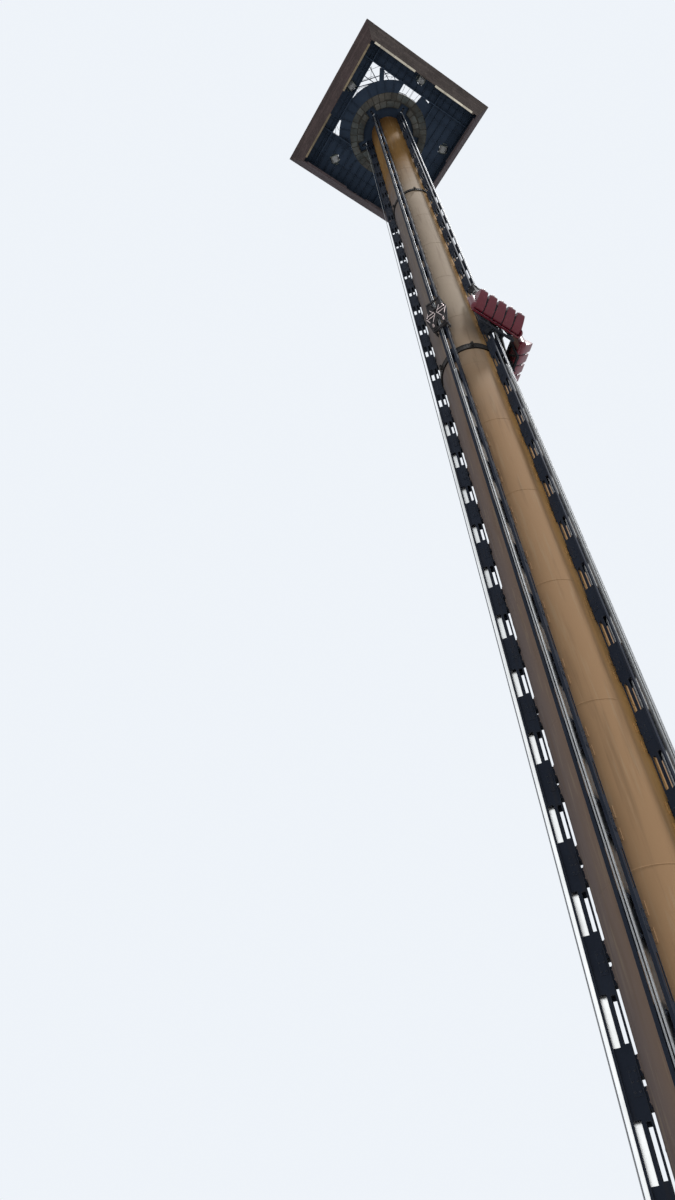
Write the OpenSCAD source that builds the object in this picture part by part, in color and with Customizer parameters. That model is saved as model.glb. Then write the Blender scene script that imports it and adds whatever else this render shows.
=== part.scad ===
// Drop tower ride, a scale model at one tenth of the real size, in millimetres.
// A round steel mast carries five guide tracks, one tilted away from the next by a fifth of a turn.
// Five gondolas and five lift cars run on the tracks, and a square crown with the hoists sits on top.
// +Z is up, the origin is on the underside of the base plate, and the first track faces +X.

/* [Tower] */
// Height of the tower
tower_h = 10000; // [9900:10:10300]
// Outer radius of the mast tube
mast_r = 156; // [150:1:158]
// Wall thickness of the mast tube
mast_wall = 4; // [3:0.5:10]
// Height of the lower ring band's middle, where the mast's lower length ends
band_low_z = 4772; // [4600:2:4790]
// Height of the upper ring band's middle, where the mast's middle length ends
band_high_z = 7570; // [7000:10:8000]
// Height of the lower ring band's plate
band_low_h = 52; // [40:1:60]
// Height of the upper ring band's plate
band_high_h = 36; // [30:1:44]
// Thickness of the ring bands
band_t = 6; // [4:0.5:6.5]

/* [Base] */
// Radius of the base plate
base_r = 290; // [282:1:310]
// Thickness of the base plate
base_t = 14; // [10:1:20]
// Radius of the anchor bolt circle
anchor_r = 268; // [262:1:272]
// Radius of each anchor hole
anchor_hole_r = 4.5; // [3:0.5:6]
// Number of anchor holes
anchor_count = 20; // [10:5:40]
// Height of the gussets that stiffen the foot
gusset_h = 90; // [60:5:95]
// Thickness of a gusset
gusset_t = 5; // [3:1:8]
// Height of the blocks that hold the lower ends of the ropes
anchor_block_h = 40; // [30:1:60]

/* [Guide tracks] */
// Distance from the axis to the outer face of the rails
rail_face_r = 214; // [210:1:218]
// Thickness of a rail, along the radius
rail_t = 6; // [4:0.5:8]
// Width of a rail
rail_w = 10; // [9:0.5:11]
// Clear width between the two side plates of a track
web_gap = 30; // [28:1:32]
// Thickness of the side plates
web_t = 3; // [2:0.5:4]
// Height of one bay of the track
bay_h = 300; // [250:5:350]
// Height of the lowest bay with windows
lattice_z = 240; // [150:5:300]
// Height of a window in the side plates
window_h = 135; // [100:5:150]
// Width of the outer windows, along the radius
window_w = 18; // [10:0.5:19]
// Width of the chord between the outer and the inner windows
chord_w = 10; // [8:0.5:12]
// Gap between the mast and the track's back plates
back_gap = 8; // [7.5:0.5:9]
// Thickness of the back plates
back_plate_t = 4; // [2:0.5:5]
// Height of the brackets that carry the track on the mast
bracket_h = 50; // [30:1:60]
// Width of those brackets
bracket_w = 24; // [12:1:28]

/* [Brakes] */
// Height of the upper end of the brake fins
fin_top_z = 4490; // [3500:10:4600]
// Height of the lower end of the brake fins
fin_foot_z = 150; // [140:10:600]
// How far the fins stand out from the rails
fin_depth = 10; // [6:0.5:11]
// Thickness of a brake fin
fin_t = 3.5; // [2:0.5:4]
// Width over a pair of fins
fin_pair_w = 13; // [9:0.5:14]

/* [Ropes] */
// Diameter of a lift rope
rope_d = 3.2; // [2:0.2:4]
// Distance from the rails' outer face to the middle of the ropes
rope_off = 15; // [14.5:0.5:16]
// Distance between the two ropes of a track
rope_pitch = 8; // [7:0.5:9]
// Radius of the head sheaves, to the middle of the rope
sheave_r = 16; // [12:0.5:17]

/* [Gondolas] */
// Length of a gondola
gondola_l = 340; // [334:2:344]
// Number of seats in a gondola
seat_count = 5; // [3:1:5]
// Distance from seat to seat
seat_pitch = 62; // [58:1:62]
// Gap between two seats
seat_gap = 6; // [4:1:12]
// Height of a gondola's carriage
gondola_h = 260; // [250:5:262]
// Height of the seat row's lower edge above the carriage's foot
seat_base = 90; // [70:2:92]
// Height of the two raised gondolas above the ground
gondola_up_z = 4830; // [4200:10:5400]
// Height of the gondolas that wait at the boarding level
gondola_low_z = 130; // [112:2:200]
// Length of a carriage's cross bars
carriage_w = 230; // [180:2:260]
// Radius of the rounded fairings at a gondola's ends
fairing_r = 24; // [20:0.5:26]
// Height of the rounded fairings
fairing_h = 130; // [100:2:140]

/* [Lift cars] */
// Height of a lift car
lift_car_h = 370; // [330:5:400]
// Width of a lift car over its arms
lift_car_w = 132; // [120:1:150]
// Height of the lift car that travels alone
lift_car_alone_z = 4960; // [4600:10:5200]
// Gap between a lift car and the gondola that it carries
catch_gap = 5; // [3:0.5:10]
// Radius of the wheels on the rails' outer face
front_wheel_r = 8; // [6:0.5:8]
// Radius of the wheels on the rails' inner face
back_wheel_r = 5; // [3:0.5:5.5]
// Radius of the wheels on the rails' edges
side_wheel_r = 6; // [4:0.5:6]

/* [Crown] */
// Height of the crown, from its lower to its upper edge
crown_h = 187; // [180:1:196]
// Side of the crown at its upper edge
crown_top_w = 1377; // [1360:1:1400]
// Side of the crown at its lower edge
crown_low_w = 1194; // [1186:1:1204]
// Thickness of the fascia boards
fascia_t = 8; // [5:0.5:10]
// Depth of the frames behind the fascia
rib_depth = 10; // [6:0.5:12]
// Distance between the frames
rib_pitch = 140; // [136:1:142]
// Width of the ledge along the fascia's lower edge
ledge_w = 20; // [12:1:26]
// Distance from the middle of a side to the start of its ledges
ledge_from = 110; // [80:1:120]
// Distance from the middle of a side to the end of its ledges
ledge_to = 555; // [500:1:560]
// How far the stone ring's underside and the deck lie below the crown's upper edge
stone_drop = 61; // [58:1:66]
// Outer radius of the stone ring
stone_r = 365; // [358:1:370]
// Inner radius of the stone ring
stone_bore_r = 238; // [234:1:244]
// Thickness of the stone ring
stone_t = 26; // [25:1:28]
// Width of the notches in the stone ring
notch_w = 88; // [76:1:96]
// Depth of the notches in the stone ring, along the radius
notch_d = 56; // [54:1:80]
// Thickness of the deck and drum floor plates
deck_t = 6; // [4:1:8]
// Thickness of the drum house's wall
drum_wall = 6; // [4:0.5:10]
// Depth of the beams under the deck
beam_h = 30; // [20:1:34]
// Width of the beams under the deck
beam_w = 10; // [6:1:12]
// Edge of the deck's opening towards +X
opening_east = 440; // [430:1:442]
// Edge of the deck's opening towards -X
opening_west = 251; // [248:1:256]
// Edge of the deck's opening towards +Y
opening_north = 215; // [206:1:222]
// Edge of the deck's opening towards -Y
opening_south = 469; // [460:1:472]
// Radius of the gallery beside the drum house
gallery_r = 470; // [462:1:478]
// Width of the bridge from the deck to the drum house
bridge_w = 220; // [180:2:240]
// How far the bridge's middle lies off the axis, towards -X
bridge_off = 20; // [0:1:30]
// Width of the braces across the opening
brace_w = 7; // [5:0.5:10]
// Distance from the axis to the hoist drums
hoist_r = 552; // [545:1:556]
// Radius of a hoist drum
hoist_drum_r = 36; // [30:1:38]
// Length of a hoist drum
hoist_l = 64; // [56:1:72]

/* [Hidden] */
$fn = 48;
track_step = 360/5;
seat = 0.3;
run_gap = 0.5;
over = 1;
crown_low_z = tower_h - crown_h;
stone_z = tower_h - stone_drop;
drum_floor_z = stone_z + stone_t;
drum_floor_top = drum_floor_z + deck_t;
deck_top_z = stone_z + deck_t;
track_top_z = drum_floor_z - 8;
anchor_top_z = base_t + anchor_block_h;
bay_count = floor((track_top_z - lattice_z)/bay_h);
rail_back_r = rail_face_r - rail_t;
web_in = web_gap/2;
web_out = web_in + web_t;
rail_in = web_in;
rail_out = rail_in + rail_w;
chord_out_r = rail_back_r - window_w;
chord_in_r = chord_out_r - chord_w;
back_r = mast_r + back_gap;
back_out_r = back_r + back_plate_t;
solid_h = bay_h - window_h - 10;
fin_root_r = chord_out_r + seat;
rope_r = rail_face_r + rope_off;
sheave_x = rope_r + sheave_r;
sheave_z = drum_floor_top + 4;
rope_run_z = sheave_z + sheave_r;
hoist_z = rope_run_z - hoist_drum_r;
cheek_in_r = rail_back_r - 2*back_wheel_r - 2;
cheek_y = rail_out + 2*side_wheel_r + 2;
cheek_t = 4;
bar_in_r = rail_face_r + 20;
bar_t = 10;
bar_out_r = bar_in_r + bar_t;
shell_r = bar_out_r + seat;
steel_dark = [0.10, 0.11, 0.14];
mast_tan = [0.66, 0.56, 0.40];
gondola_red = [0.38, 0.05, 0.09];
stone_grey = [0.42, 0.42, 0.36];
fascia_brown = [0.36, 0.30, 0.28];
fin_silver = [0.85, 0.86, 0.86];

// Each track's own frame: X points away from the mast, Y along the face of the track
module on_track(k) { rotate([0, 0, (k - 1)*track_step]) children(); }

// A block given by its lowest and highest corner
module block(a, b) { translate(a) cube(b - a); }

// The same piece on both sides of the track's middle
module both_sides() {
    children();
    mirror([0, 1, 0]) children();
}

// A flat piece drawn as distance from the axis and height, from y0 on, t thick along Y
module upright(y0, t) { translate([0, y0 + t, 0]) rotate([90, 0, 0]) linear_extrude(height = t) children(); }

module ring(r0, r1, z0, z1) {
    translate([0, 0, z0]) difference() {
        cylinder(r = r1, h = z1 - z0, $fn = 96);
        translate([0, 0, -over]) cylinder(r = r0, h = z1 - z0 + 2*over, $fn = 96);
    }
}

// Base plate with its gussets
module base_plate() {
    color(steel_dark) difference() {
        union() {
            cylinder(r = base_r, h = base_t, $fn = 96);
            foot_gussets();
        }
        for (i = [0:anchor_count - 1]) rotate([0, 0, (i + 0.5)*360/anchor_count])
            translate([anchor_r, 0, -over]) cylinder(r = anchor_hole_r, h = base_t + 2*over, $fn = 24);
        translate([0, 0, base_t]) cylinder(r = mast_r + seat, h = gusset_h, $fn = 96);
    }
}

// Foot gussets between the tracks, welded to the base plate and seated on the mast
module foot_gussets() {
    foot = anchor_r - 14;
    top = base_t + gusset_h - 1;
    for (i = [0:9]) rotate([0, 0, (i + 0.5)*36]) upright(-gusset_t/2, gusset_t)
        polygon([[mast_r - 3, base_t - 1], [foot, base_t - 1], [foot, base_t + 10], [mast_r + 8, top],
                 [mast_r - 3, top]]);
}

module mast_length(z0, z1) { color(mast_tan) ring(mast_r - mast_wall, mast_r, z0, z1); }
module mast_lower() { mast_length(base_t, band_low_z); }
module mast_middle() { mast_length(band_low_z, band_high_z); }
module mast_upper() { mast_length(band_high_z, drum_floor_z); }

module ring_bands() {
    color(steel_dark) {
        for (b = [[band_low_z, band_low_h], [band_high_z, band_high_h]])
            ring(mast_r + seat, mast_r + seat + band_t, b[0] - b[1]/2, b[0] + b[1]/2);
    }
}

function off_band(z, band_z, band_h) = z + bracket_h < band_z - band_h/2 - 1 || z > band_z + band_h/2 + 1;

// A bracket that carries the track on the mast, left out where a ring band is in its way
module bracket(z) {
    if (off_band(z, band_low_z, band_low_h) && off_band(z, band_high_z, band_high_h))
        block([mast_r + seat, -bracket_w/2, z], [back_r, bracket_w/2, z + bracket_h]);
}

// One guide track: two side plates with windows, the rails on their outer edges, back plates and brackets
module track() {
    gap = 12;
    both_sides() {
        block([rail_back_r, rail_in, base_t], [rail_face_r, rail_out, track_top_z]);
        upright(web_in, web_t) difference() {
            translate([back_r, base_t]) square([rail_back_r - back_r, track_top_z - base_t]);
            for (i = [0:bay_count - 1]) translate([0, lattice_z + i*bay_h + (bay_h - window_h)/2]) {
                translate([chord_out_r, 0]) square([window_w, window_h]);
                translate([back_out_r, 6]) square([chord_in_r - back_out_r, window_h - 12]);
            }
        }
    }
    for (i = [0:bay_count]) {
        z = lattice_z + i*bay_h;
        low = max(base_t, z - solid_h/2);
        high = min(track_top_z, z + solid_h/2);
        block([back_r, -web_in, low], [back_out_r, web_in, high]);
        bracket(z + gap);
        bracket(z - gap - bracket_h);
        block([chord_in_r, -web_in, z - 30], [chord_out_r, web_in, z + 30]);
    }
}

module brake_fins() {
    tip = rail_face_r + fin_depth;
    color(fin_silver) for (k = [1:5]) on_track(k) both_sides() upright(fin_pair_w/2 - fin_t, fin_t)
        polygon([[fin_root_r, fin_foot_z], [tip, fin_foot_z + 60], [tip, fin_top_z - 40],
                 [tip - 6, fin_top_z], [fin_root_r, fin_top_z]]);
}

// Two ropes a track: up from the base, over the head sheave and across to the hoist
module lift_ropes() {
    color(fin_silver) for (k = [1:5]) on_track(k) both_sides() translate([0, rope_pitch/2, 0]) {
        translate([rope_r, 0, anchor_top_z]) cylinder(d = rope_d, h = sheave_z - anchor_top_z, $fn = 16);
        translate([sheave_x, 0, sheave_z]) rotate([90, 0, 0]) rotate([0, 0, 90])
            rotate_extrude(angle = 90) translate([sheave_r, 0]) circle(d = rope_d, $fn = 16);
        translate([sheave_x, 0, rope_run_z]) rotate([0, 90, 0])
            cylinder(d = rope_d, h = hoist_r - sheave_x, $fn = 16);
    }
}

// Blocks on the base plate that hold the lower ends of the ropes
module rope_anchors() {
    color(steel_dark) for (k = [1:5]) on_track(k) upright(-14, 28)
        polygon([[rope_r - 9, base_t], [rope_r + 14, base_t], [rope_r + 7, anchor_top_z],
                 [rope_r - 9, anchor_top_z]]);
}

// Head sheaves in the drum house: a wheel with a rope groove each, on an axle between two plates
module head_sheaves() {
    color(steel_dark) for (k = [1:5]) on_track(k) translate([sheave_x, 0, 0]) {
        translate([0, 0, sheave_z]) rotate([90, 0, 0]) {
            difference() {
                cylinder(r = sheave_r + 2, h = 16, center = true);
                for (y = [-1, 1]) translate([0, 0, y*rope_pitch/2])
                    rotate_extrude() translate([sheave_r, 0]) circle(d = rope_d + 2*seat, $fn = 16);
                difference() {
                    cylinder(r = sheave_r + 3, h = rope_pitch + rope_d + 2*seat, center = true);
                    cylinder(r = sheave_r, h = 20, center = true);
                }
            }
            cylinder(r = 3, h = 26, center = true);
        }
        both_sides() upright(10, 4)
            polygon([[-14, drum_floor_top], [14, drum_floor_top], [7, sheave_z + 9], [-7, sheave_z + 9]]);
    }
}

module stone_ring() {
    color(stone_grey) difference() {
        ring(stone_bore_r, stone_r, stone_z, drum_floor_z);
        for (k = [1:5]) on_track(k)
            block([stone_bore_r - 30, -notch_w/2, stone_z - over],
                  [stone_bore_r + notch_d, notch_w/2, drum_floor_z + over]);
    }
}

// Drum house: its floor on the mast, and a wall with a slot for each pair of ropes
module drum_house() {
    slot_w = rope_pitch + rope_d + 8;
    color(steel_dark) difference() {
        union() {
            translate([0, 0, drum_floor_z]) cylinder(r = stone_r, h = deck_t, $fn = 96);
            ring(stone_r - drum_wall, stone_r, drum_floor_z, tower_h);
        }
        for (k = [1:5]) on_track(k) {
            block([rope_r - 8, -10, drum_floor_z - over],
                  [sheave_x + sheave_r + 6, 10, drum_floor_top + over]);
            block([stone_r - 20, -slot_w/2, rope_run_z - 7], [stone_r + 20, slot_w/2, tower_h + over]);
        }
    }
}

// Sheet covers over the head sheaves, open towards the hoists
module rope_covers() {
    back = sheave_x - sheave_r - 6;
    front = stone_r - drum_wall - 12;
    color(steel_dark) for (k = [1:5]) on_track(k) difference() {
        block([back, -20, drum_floor_top], [front, 20, tower_h]);
        block([back + 3, -17, drum_floor_top - over], [front + over, 17, tower_h - 2.5]);
    }
}

// A flat bar between two points of the plan
module flat_bar(a, b, w) {
    d = b - a;
    translate(a) rotate([0, 0, atan2(d[1], d[0])]) translate([0, -w/2]) square([norm(d), w]);
}

// Plan of the deck: a square sheet with the opening, the gallery, the bridge and the braces across it
module deck_plan() {
    h = fascia_inner(stone_z) - seat;
    far = 2*gallery_r;
    hole = hoist_drum_r + 8;
    difference() {
        union() {
            difference() {
                square(2*h, center = true);
                translate([-opening_west, -opening_south])
                    square([opening_west + opening_east, opening_south + opening_north]);
            }
            intersection() {
                circle(r = gallery_r, $fn = 96);
                polygon([[0, 0], far*[cos(-165), sin(-165)], [-far, -far], [far, -far],
                         far*[cos(-20), sin(-20)]]);
            }
            translate([-bridge_off - bridge_w/2, -opening_south - over]) square([bridge_w, 200]);
            translate([stone_r - 60, -172]) square([opening_east + over - stone_r + 60, 52]);
            polygon([[stone_r - 40, 60], [stone_r, 66], [opening_east + over, 80], [opening_east + over, 114],
                     [opening_east - 18, 170], [opening_east + over, 170],
                     [opening_east + over, opening_north + over], [200, opening_north + over]]);
            flat_bar([gallery_r - 130, -305], [opening_east + over, -365], 44);
            flat_bar([190, -opening_south - over], [365, -300], brace_w);
            flat_bar([240, -opening_south - over], [opening_east + over, -290], brace_w);
            flat_bar([300, -opening_south - over], [300, -290], brace_w);
            flat_bar([390, -opening_south - over], [310, -310], brace_w);
            flat_bar([opening_east + over, -360], [370, -220], brace_w);
            flat_bar([opening_east + over, -235], [390, -160], brace_w);
        }
        circle(r = stone_r + seat, $fn = 96);
        for (k = [1:5]) on_track(k)
            translate([hoist_r - hole, -hoist_l/2 - 4]) square([2*hole, hoist_l + 8]);
    }
}
module deck() { color(steel_dark) translate([0, 0, stone_z]) linear_extrude(height = deck_t) deck_plan(); }

// The hoists' places below the deck, where no beam may run
module hoist_space() {
    for (k = [1:5]) on_track(k)
        block([hoist_r - hoist_drum_r - 10, -hoist_l/2 - 10, stone_z - beam_h - over],
              [hoist_r + hoist_drum_r + 10, hoist_l/2 + 10, stone_z + over]);
}

// Beams under the deck, along the edges of the opening: the short ones butt against the long ones
module deck_beams() {
    h = fascia_inner(stone_z - beam_h) - rib_depth - seat;
    south = [-opening_south - beam_w, -opening_south];
    north = [opening_north, opening_north + beam_w];
    z0 = stone_z - beam_h;
    color(steel_dark) difference() {
        union() {
            for (y = [south, north]) block([-h, y[0], z0], [h, y[1], stone_z]);
            for (x = [-opening_west - beam_w, opening_east]) {
                block([x, -h, z0], [x + beam_w, south[0] - seat, stone_z]);
                block([x, south[1] + seat, z0], [x + beam_w, north[0] - seat, stone_z]);
                block([x, north[1] + seat, z0], [x + beam_w, h, stone_z]);
            }
        }
        translate([0, 0, z0 - over]) cylinder(r = stone_r + seat, h = beam_h + 2*over, $fn = 96);
        hoist_space();
    }
}

function fascia_slope() = (crown_top_w - crown_low_w)/2/crown_h;
function fascia_inner(z) = crown_low_w/2 - fascia_t + fascia_slope()*(z - crown_low_z);

// A frame behind the fascia between two heights
module rib(y, z0, z1) {
    upright(y - 3, 6) polygon([[fascia_inner(z0) - rib_depth, z0], [fascia_inner(z0) + 2, z0],
                               [fascia_inner(z1) + 2, z1], [fascia_inner(z1) - rib_depth, z1]]);
}

// One side of the flared fascia, facing +X: boards mitred at the corners, a ledge and the frames
module fascia() {
    lo = crown_low_w/2;
    hi = crown_top_w/2;
    ledge_t = 5;
    intersection() {
        upright(-hi, 2*hi)
            polygon([[lo - fascia_t, crown_low_z], [lo, crown_low_z], [hi, tower_h],
                     [hi - fascia_t, tower_h]]);
        linear_extrude(height = tower_h + over) polygon([[0.2, 0], [hi + 0.2, hi], [hi + 0.2, -hi]]);
    }
    both_sides()
        block([lo - ledge_w, ledge_from, crown_low_z], [lo - 2, ledge_to, crown_low_z + ledge_t]);
    for (i = [-3:3]) {
        rib(i*rib_pitch, crown_low_z + ledge_t - 0.5, stone_z);
        rib(i*rib_pitch, deck_top_z + seat, tower_h);
    }
}
module fascia_side(a) { color(fascia_brown) rotate([0, 0, a]) fascia(); }

// Rope hoists on the deck: a flanged drum between two bearing plates, with its gearbox and motor beside it
module hoists() {
    plate_y = hoist_l/2 + 5;
    color(fin_silver) for (k = [1:5]) on_track(k) translate([hoist_r, 0, 0]) {
        translate([0, 0, hoist_z]) rotate([90, 0, 0]) {
            cylinder(r = hoist_drum_r - rope_d/2 - seat, h = hoist_l, center = true);
            for (y = [-1, 1]) translate([0, 0, y*(hoist_l/2 - 2)])
                cylinder(r = hoist_drum_r + 3, h = 4, center = true);
            cylinder(r = 6, h = 2*plate_y + 14, center = true);
        }
        both_sides() upright(plate_y, 6)
            polygon([[-36, deck_top_z], [36, deck_top_z], [14, hoist_z + 16], [-14, hoist_z + 16]]);
        block([-14, plate_y + 5, deck_top_z], [14, plate_y + 22, hoist_z + 20]);
        translate([0, plate_y + 20, hoist_z + 4]) rotate([-90, 0, 0]) cylinder(r = 12, h = 34);
    }
}

// A pair of wheels on the front and back of a rail, on axles from the cheek
module rail_wheels(z) {
    for (w = [[rail_face_r + run_gap + front_wheel_r, front_wheel_r, rail_in + 1],
              [rail_back_r - run_gap - back_wheel_r, back_wheel_r, web_out + 1.5]]) translate([w[0], 0, z]) {
        translate([0, w[2], 0]) rotate([-90, 0, 0]) cylinder(r = w[1], h = rail_out - w[2] - 0.5);
        translate([0, w[2] + 2, 0]) rotate([-90, 0, 0]) cylinder(r = 2, h = cheek_y - w[2] - 1);
    }
}

// A wheel on the edge of a rail, on an axle from the front frame
module side_wheel(z) {
    translate([rail_back_r, rail_out + run_gap + side_wheel_r, z]) rotate([0, 90, 0]) {
        cylinder(r = side_wheel_r, h = rail_t);
        cylinder(r = 2, h = bar_in_r + 1 - rail_back_r);
    }
}

// Side plate of a car, waisted between its bogies, with round lightening holes
module cheek(h) {
    a = cheek_in_r;
    b = bar_out_r;
    upright(cheek_y, cheek_t) difference() {
        polygon([[a, 10], [a + 10, 0], [b, 0], [b, h], [a + 10, h], [a, h - 10], [a, h - 48],
                 [a + 20, h - 68], [a + 20, 68], [a, 48]]);
        for (z = [30, h - 30]) translate([a + 24, z]) circle(r = 6);
        for (i = [0:floor((h - 170)/34)]) translate([b - 14, 85 + i*34]) circle(r = 7);
    }
}

// Lift car, drawn at height 0: two cheeks with wheels, a tapered front frame and the rope clamp
module lift_car_body() {
    h = lift_car_h;
    arm = lift_car_w/2;
    frame_t = 6;
    color(steel_dark) {
        both_sides() {
            cheek(h);
            for (z = [24, h - 24]) rail_wheels(z);
            for (z = [48, h - 48]) side_wheel(z);
        }
        translate([bar_in_r, 0, 0]) rotate([90, 0, 90]) linear_extrude(height = frame_t) difference() {
            polygon([[-47, 0], [47, 0], [arm, h*0.44], [arm, h*0.58], [47, h*0.72], [47, h], [-47, h],
                     [-47, h*0.72], [-arm, h*0.58], [-arm, h*0.44]]);
            polygon([[-26, 24], [26, 24], [0, h*0.40]]);
            polygon([[-26, h - 24], [26, h - 24], [0, h*0.62]]);
            for (s = [-1, 1]) translate([s*(arm - 10), h*0.51]) circle(r = 6);
        }
        difference() {
            block([bar_in_r - 6, -12, h*0.42], [bar_in_r + 1, 12, h*0.60]);
            for (s = [-1, 1]) translate([rope_r, s*rope_pitch/2, 0]) cylinder(d = rope_d + 2*run_gap, h = h);
        }
    }
}
module lift_car(k, z) { on_track(k) translate([0, 0, z]) lift_car_body(); }

// Carriage of a gondola, drawn at height 0: two cheeks with wheels, cross bars, posts and struts
module carriage_body() {
    h = gondola_h;
    bar_h = 24;
    low = 24;
    high = h - 24 - bar_h;
    w = carriage_w/2;
    color(steel_dark) {
        both_sides() {
            cheek(h);
            for (z = [20, h - 20]) rail_wheels(z);
            for (z = [low + bar_h/2, high + bar_h/2]) side_wheel(z);
            block([bar_in_r, w - 12, low], [bar_out_r, w, high + bar_h]);
            translate([bar_in_r + 2, 0, 0]) rotate([90, 0, 90]) linear_extrude(height = 5)
                polygon([[cheek_y, high + 1], [cheek_y + 10, high + 1], [w - 4, low + bar_h - 1],
                         [w - 14, low + bar_h - 1]]);
        }
        for (z = [low, high]) block([bar_in_r, -w, z], [bar_out_r, w, z + bar_h]);
    }
}

// Shell of a gondola: the back panel with a rolled lower edge, and a rounded fairing at each end
module shell_body() {
    z0 = seat_base;
    panel_t = 5;
    inner = seat_count*seat_pitch/2 + seat;
    color(gondola_red) {
        upright(-inner, 2*inner) polygon([[shell_r, z0 + 3], [shell_r + 4, z0], [shell_r + 12, z0],
            [shell_r + 12, z0 + 4], [shell_r + panel_t, z0 + 9], [shell_r + panel_t, gondola_h],
            [shell_r, gondola_h]]);
        both_sides() intersection() {
            translate([shell_r + fairing_r - 2, gondola_l/2 - fairing_r, z0 + fairing_r]) {
                cylinder(r = fairing_r, h = fairing_h - 2*fairing_r);
                sphere(r = fairing_r);
                translate([0, 0, fairing_h - 2*fairing_r]) sphere(r = fairing_r);
            }
            block([shell_r, inner - 3, z0], [shell_r + 2*fairing_r, gondola_l/2 + over, z0 + fairing_h]);
        }
    }
}

// Side view of a seat: the underside slopes up to the front lip, the pan dips and the back stands behind it
module seat_profile(z0) {
    r = shell_r + 5 + seat;
    polygon([[r, z0 + 12], [r + 20, z0 + 14], [r + 50, z0 + 38], [r + 84, z0 + 76], [r + 94, z0 + 90],
             [r + 90, z0 + 100], [r + 78, z0 + 96], [r + 56, z0 + 80], [r + 34, z0 + 70], [r + 20, z0 + 74],
             [r + 14, z0 + 90], [r + 12, z0 + 165], [r + 6, z0 + 172], [r, z0 + 172]]);
}
module seat_side(z0) {
    r = shell_r + 5 + seat;
    polygon([[r + 6, z0 + 40], [r + 50, z0 + 60], [r + 80, z0 + 88], [r + 68, z0 + 106], [r + 40, z0 + 106],
             [r + 26, z0 + 120], [r + 22, z0 + 160], [r + 12, z0 + 172], [r + 6, z0 + 172]]);
}

// Shoulder restraint: two tubes from the top of the back, forward and down to a lap bar
module restraint(z0) {
    tube_r = 2.5;
    bend_r = 24;
    x = shell_r + 5 + 26;
    z = z0 + 148;
    both_sides() translate([x, 13, z]) {
        rotate([90, 0, 0]) rotate([0, 0, -20]) rotate_extrude(angle = 155) translate([bend_r, 0])
            circle(r = tube_r, $fn = 16);
        rotate([0, 20, 0]) translate([bend_r, 0, -36]) cylinder(r = tube_r, h = 36, $fn = 16);
    }
    translate([x, 0, z]) rotate([0, 20, 0]) translate([bend_r, 0, -28]) rotate([90, 0, 0])
        cylinder(r = 3, h = 26, center = true, $fn = 16);
}

module seats_body() {
    w = (seat_pitch - seat_gap)/2;
    z0 = seat_base;
    color(gondola_red) for (i = [0:seat_count - 1]) translate([0, (i - (seat_count - 1)/2)*seat_pitch, 0]) {
        upright(-w, 2*w) seat_profile(z0);
        both_sides() upright(w - 5, 5) seat_side(z0);
        upright(-5, 10) polygon([[shell_r + 84, z0 + 90], [shell_r + 96, z0 + 92], [shell_r + 96, z0 + 118],
                                 [shell_r + 89, z0 + 118]]);
        restraint(z0);
    }
}
module carriage(k, z) { on_track(k) translate([0, 0, z]) carriage_body(); }
module shell(k, z) { on_track(k) translate([0, 0, z]) shell_body(); }
module seats(k, z) { on_track(k) translate([0, 0, z]) seats_body(); }

function gondola_z(k) = (k == 1 || k == 2) ? gondola_up_z : gondola_low_z;
function lift_car_z(k) = k == 5 ? lift_car_alone_z : gondola_z(k) + gondola_h + catch_gap;

base_plate();
mast_lower();
mast_middle();
mast_upper();
ring_bands();
color(steel_dark) on_track(1) track();  // track_1
color(steel_dark) on_track(2) track();  // track_2
color(steel_dark) on_track(3) track();  // track_3
color(steel_dark) on_track(4) track();  // track_4
color(steel_dark) on_track(5) track();  // track_5
brake_fins();
lift_ropes();
stone_ring();
rope_anchors();
drum_house();
rope_covers();
head_sheaves();
deck();
deck_beams();
fascia_side(0);  // fascia_east
fascia_side(90);  // fascia_north
fascia_side(180);  // fascia_west
fascia_side(270);  // fascia_south
hoists();
lift_car(1, lift_car_z(1));  // lift_car_1
lift_car(2, lift_car_z(2));  // lift_car_2
lift_car(3, lift_car_z(3));  // lift_car_3
lift_car(4, lift_car_z(4));  // lift_car_4
lift_car(5, lift_car_z(5));  // lift_car_5
carriage(1, gondola_z(1));  // carriage_1
carriage(2, gondola_z(2));  // carriage_2
carriage(3, gondola_z(3));  // carriage_3
carriage(4, gondola_z(4));  // carriage_4
carriage(5, gondola_z(5));  // carriage_5
shell(1, gondola_z(1));  // shell_1
shell(2, gondola_z(2));  // shell_2
shell(3, gondola_z(3));  // shell_3
shell(4, gondola_z(4));  // shell_4
shell(5, gondola_z(5));  // shell_5
seats(1, gondola_z(1));  // seats_1
seats(2, gondola_z(2));  // seats_2
seats(3, gondola_z(3));  // seats_3
seats(4, gondola_z(4));  // seats_4
seats(5, gondola_z(5));  // seats_5
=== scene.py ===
"""Drop tower ride: finishes, fine fittings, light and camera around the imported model."""
import random
from math import copysign, cos, exp, hypot, pi, radians, sin

import bpy
from mathutils import Matrix, Vector


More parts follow.
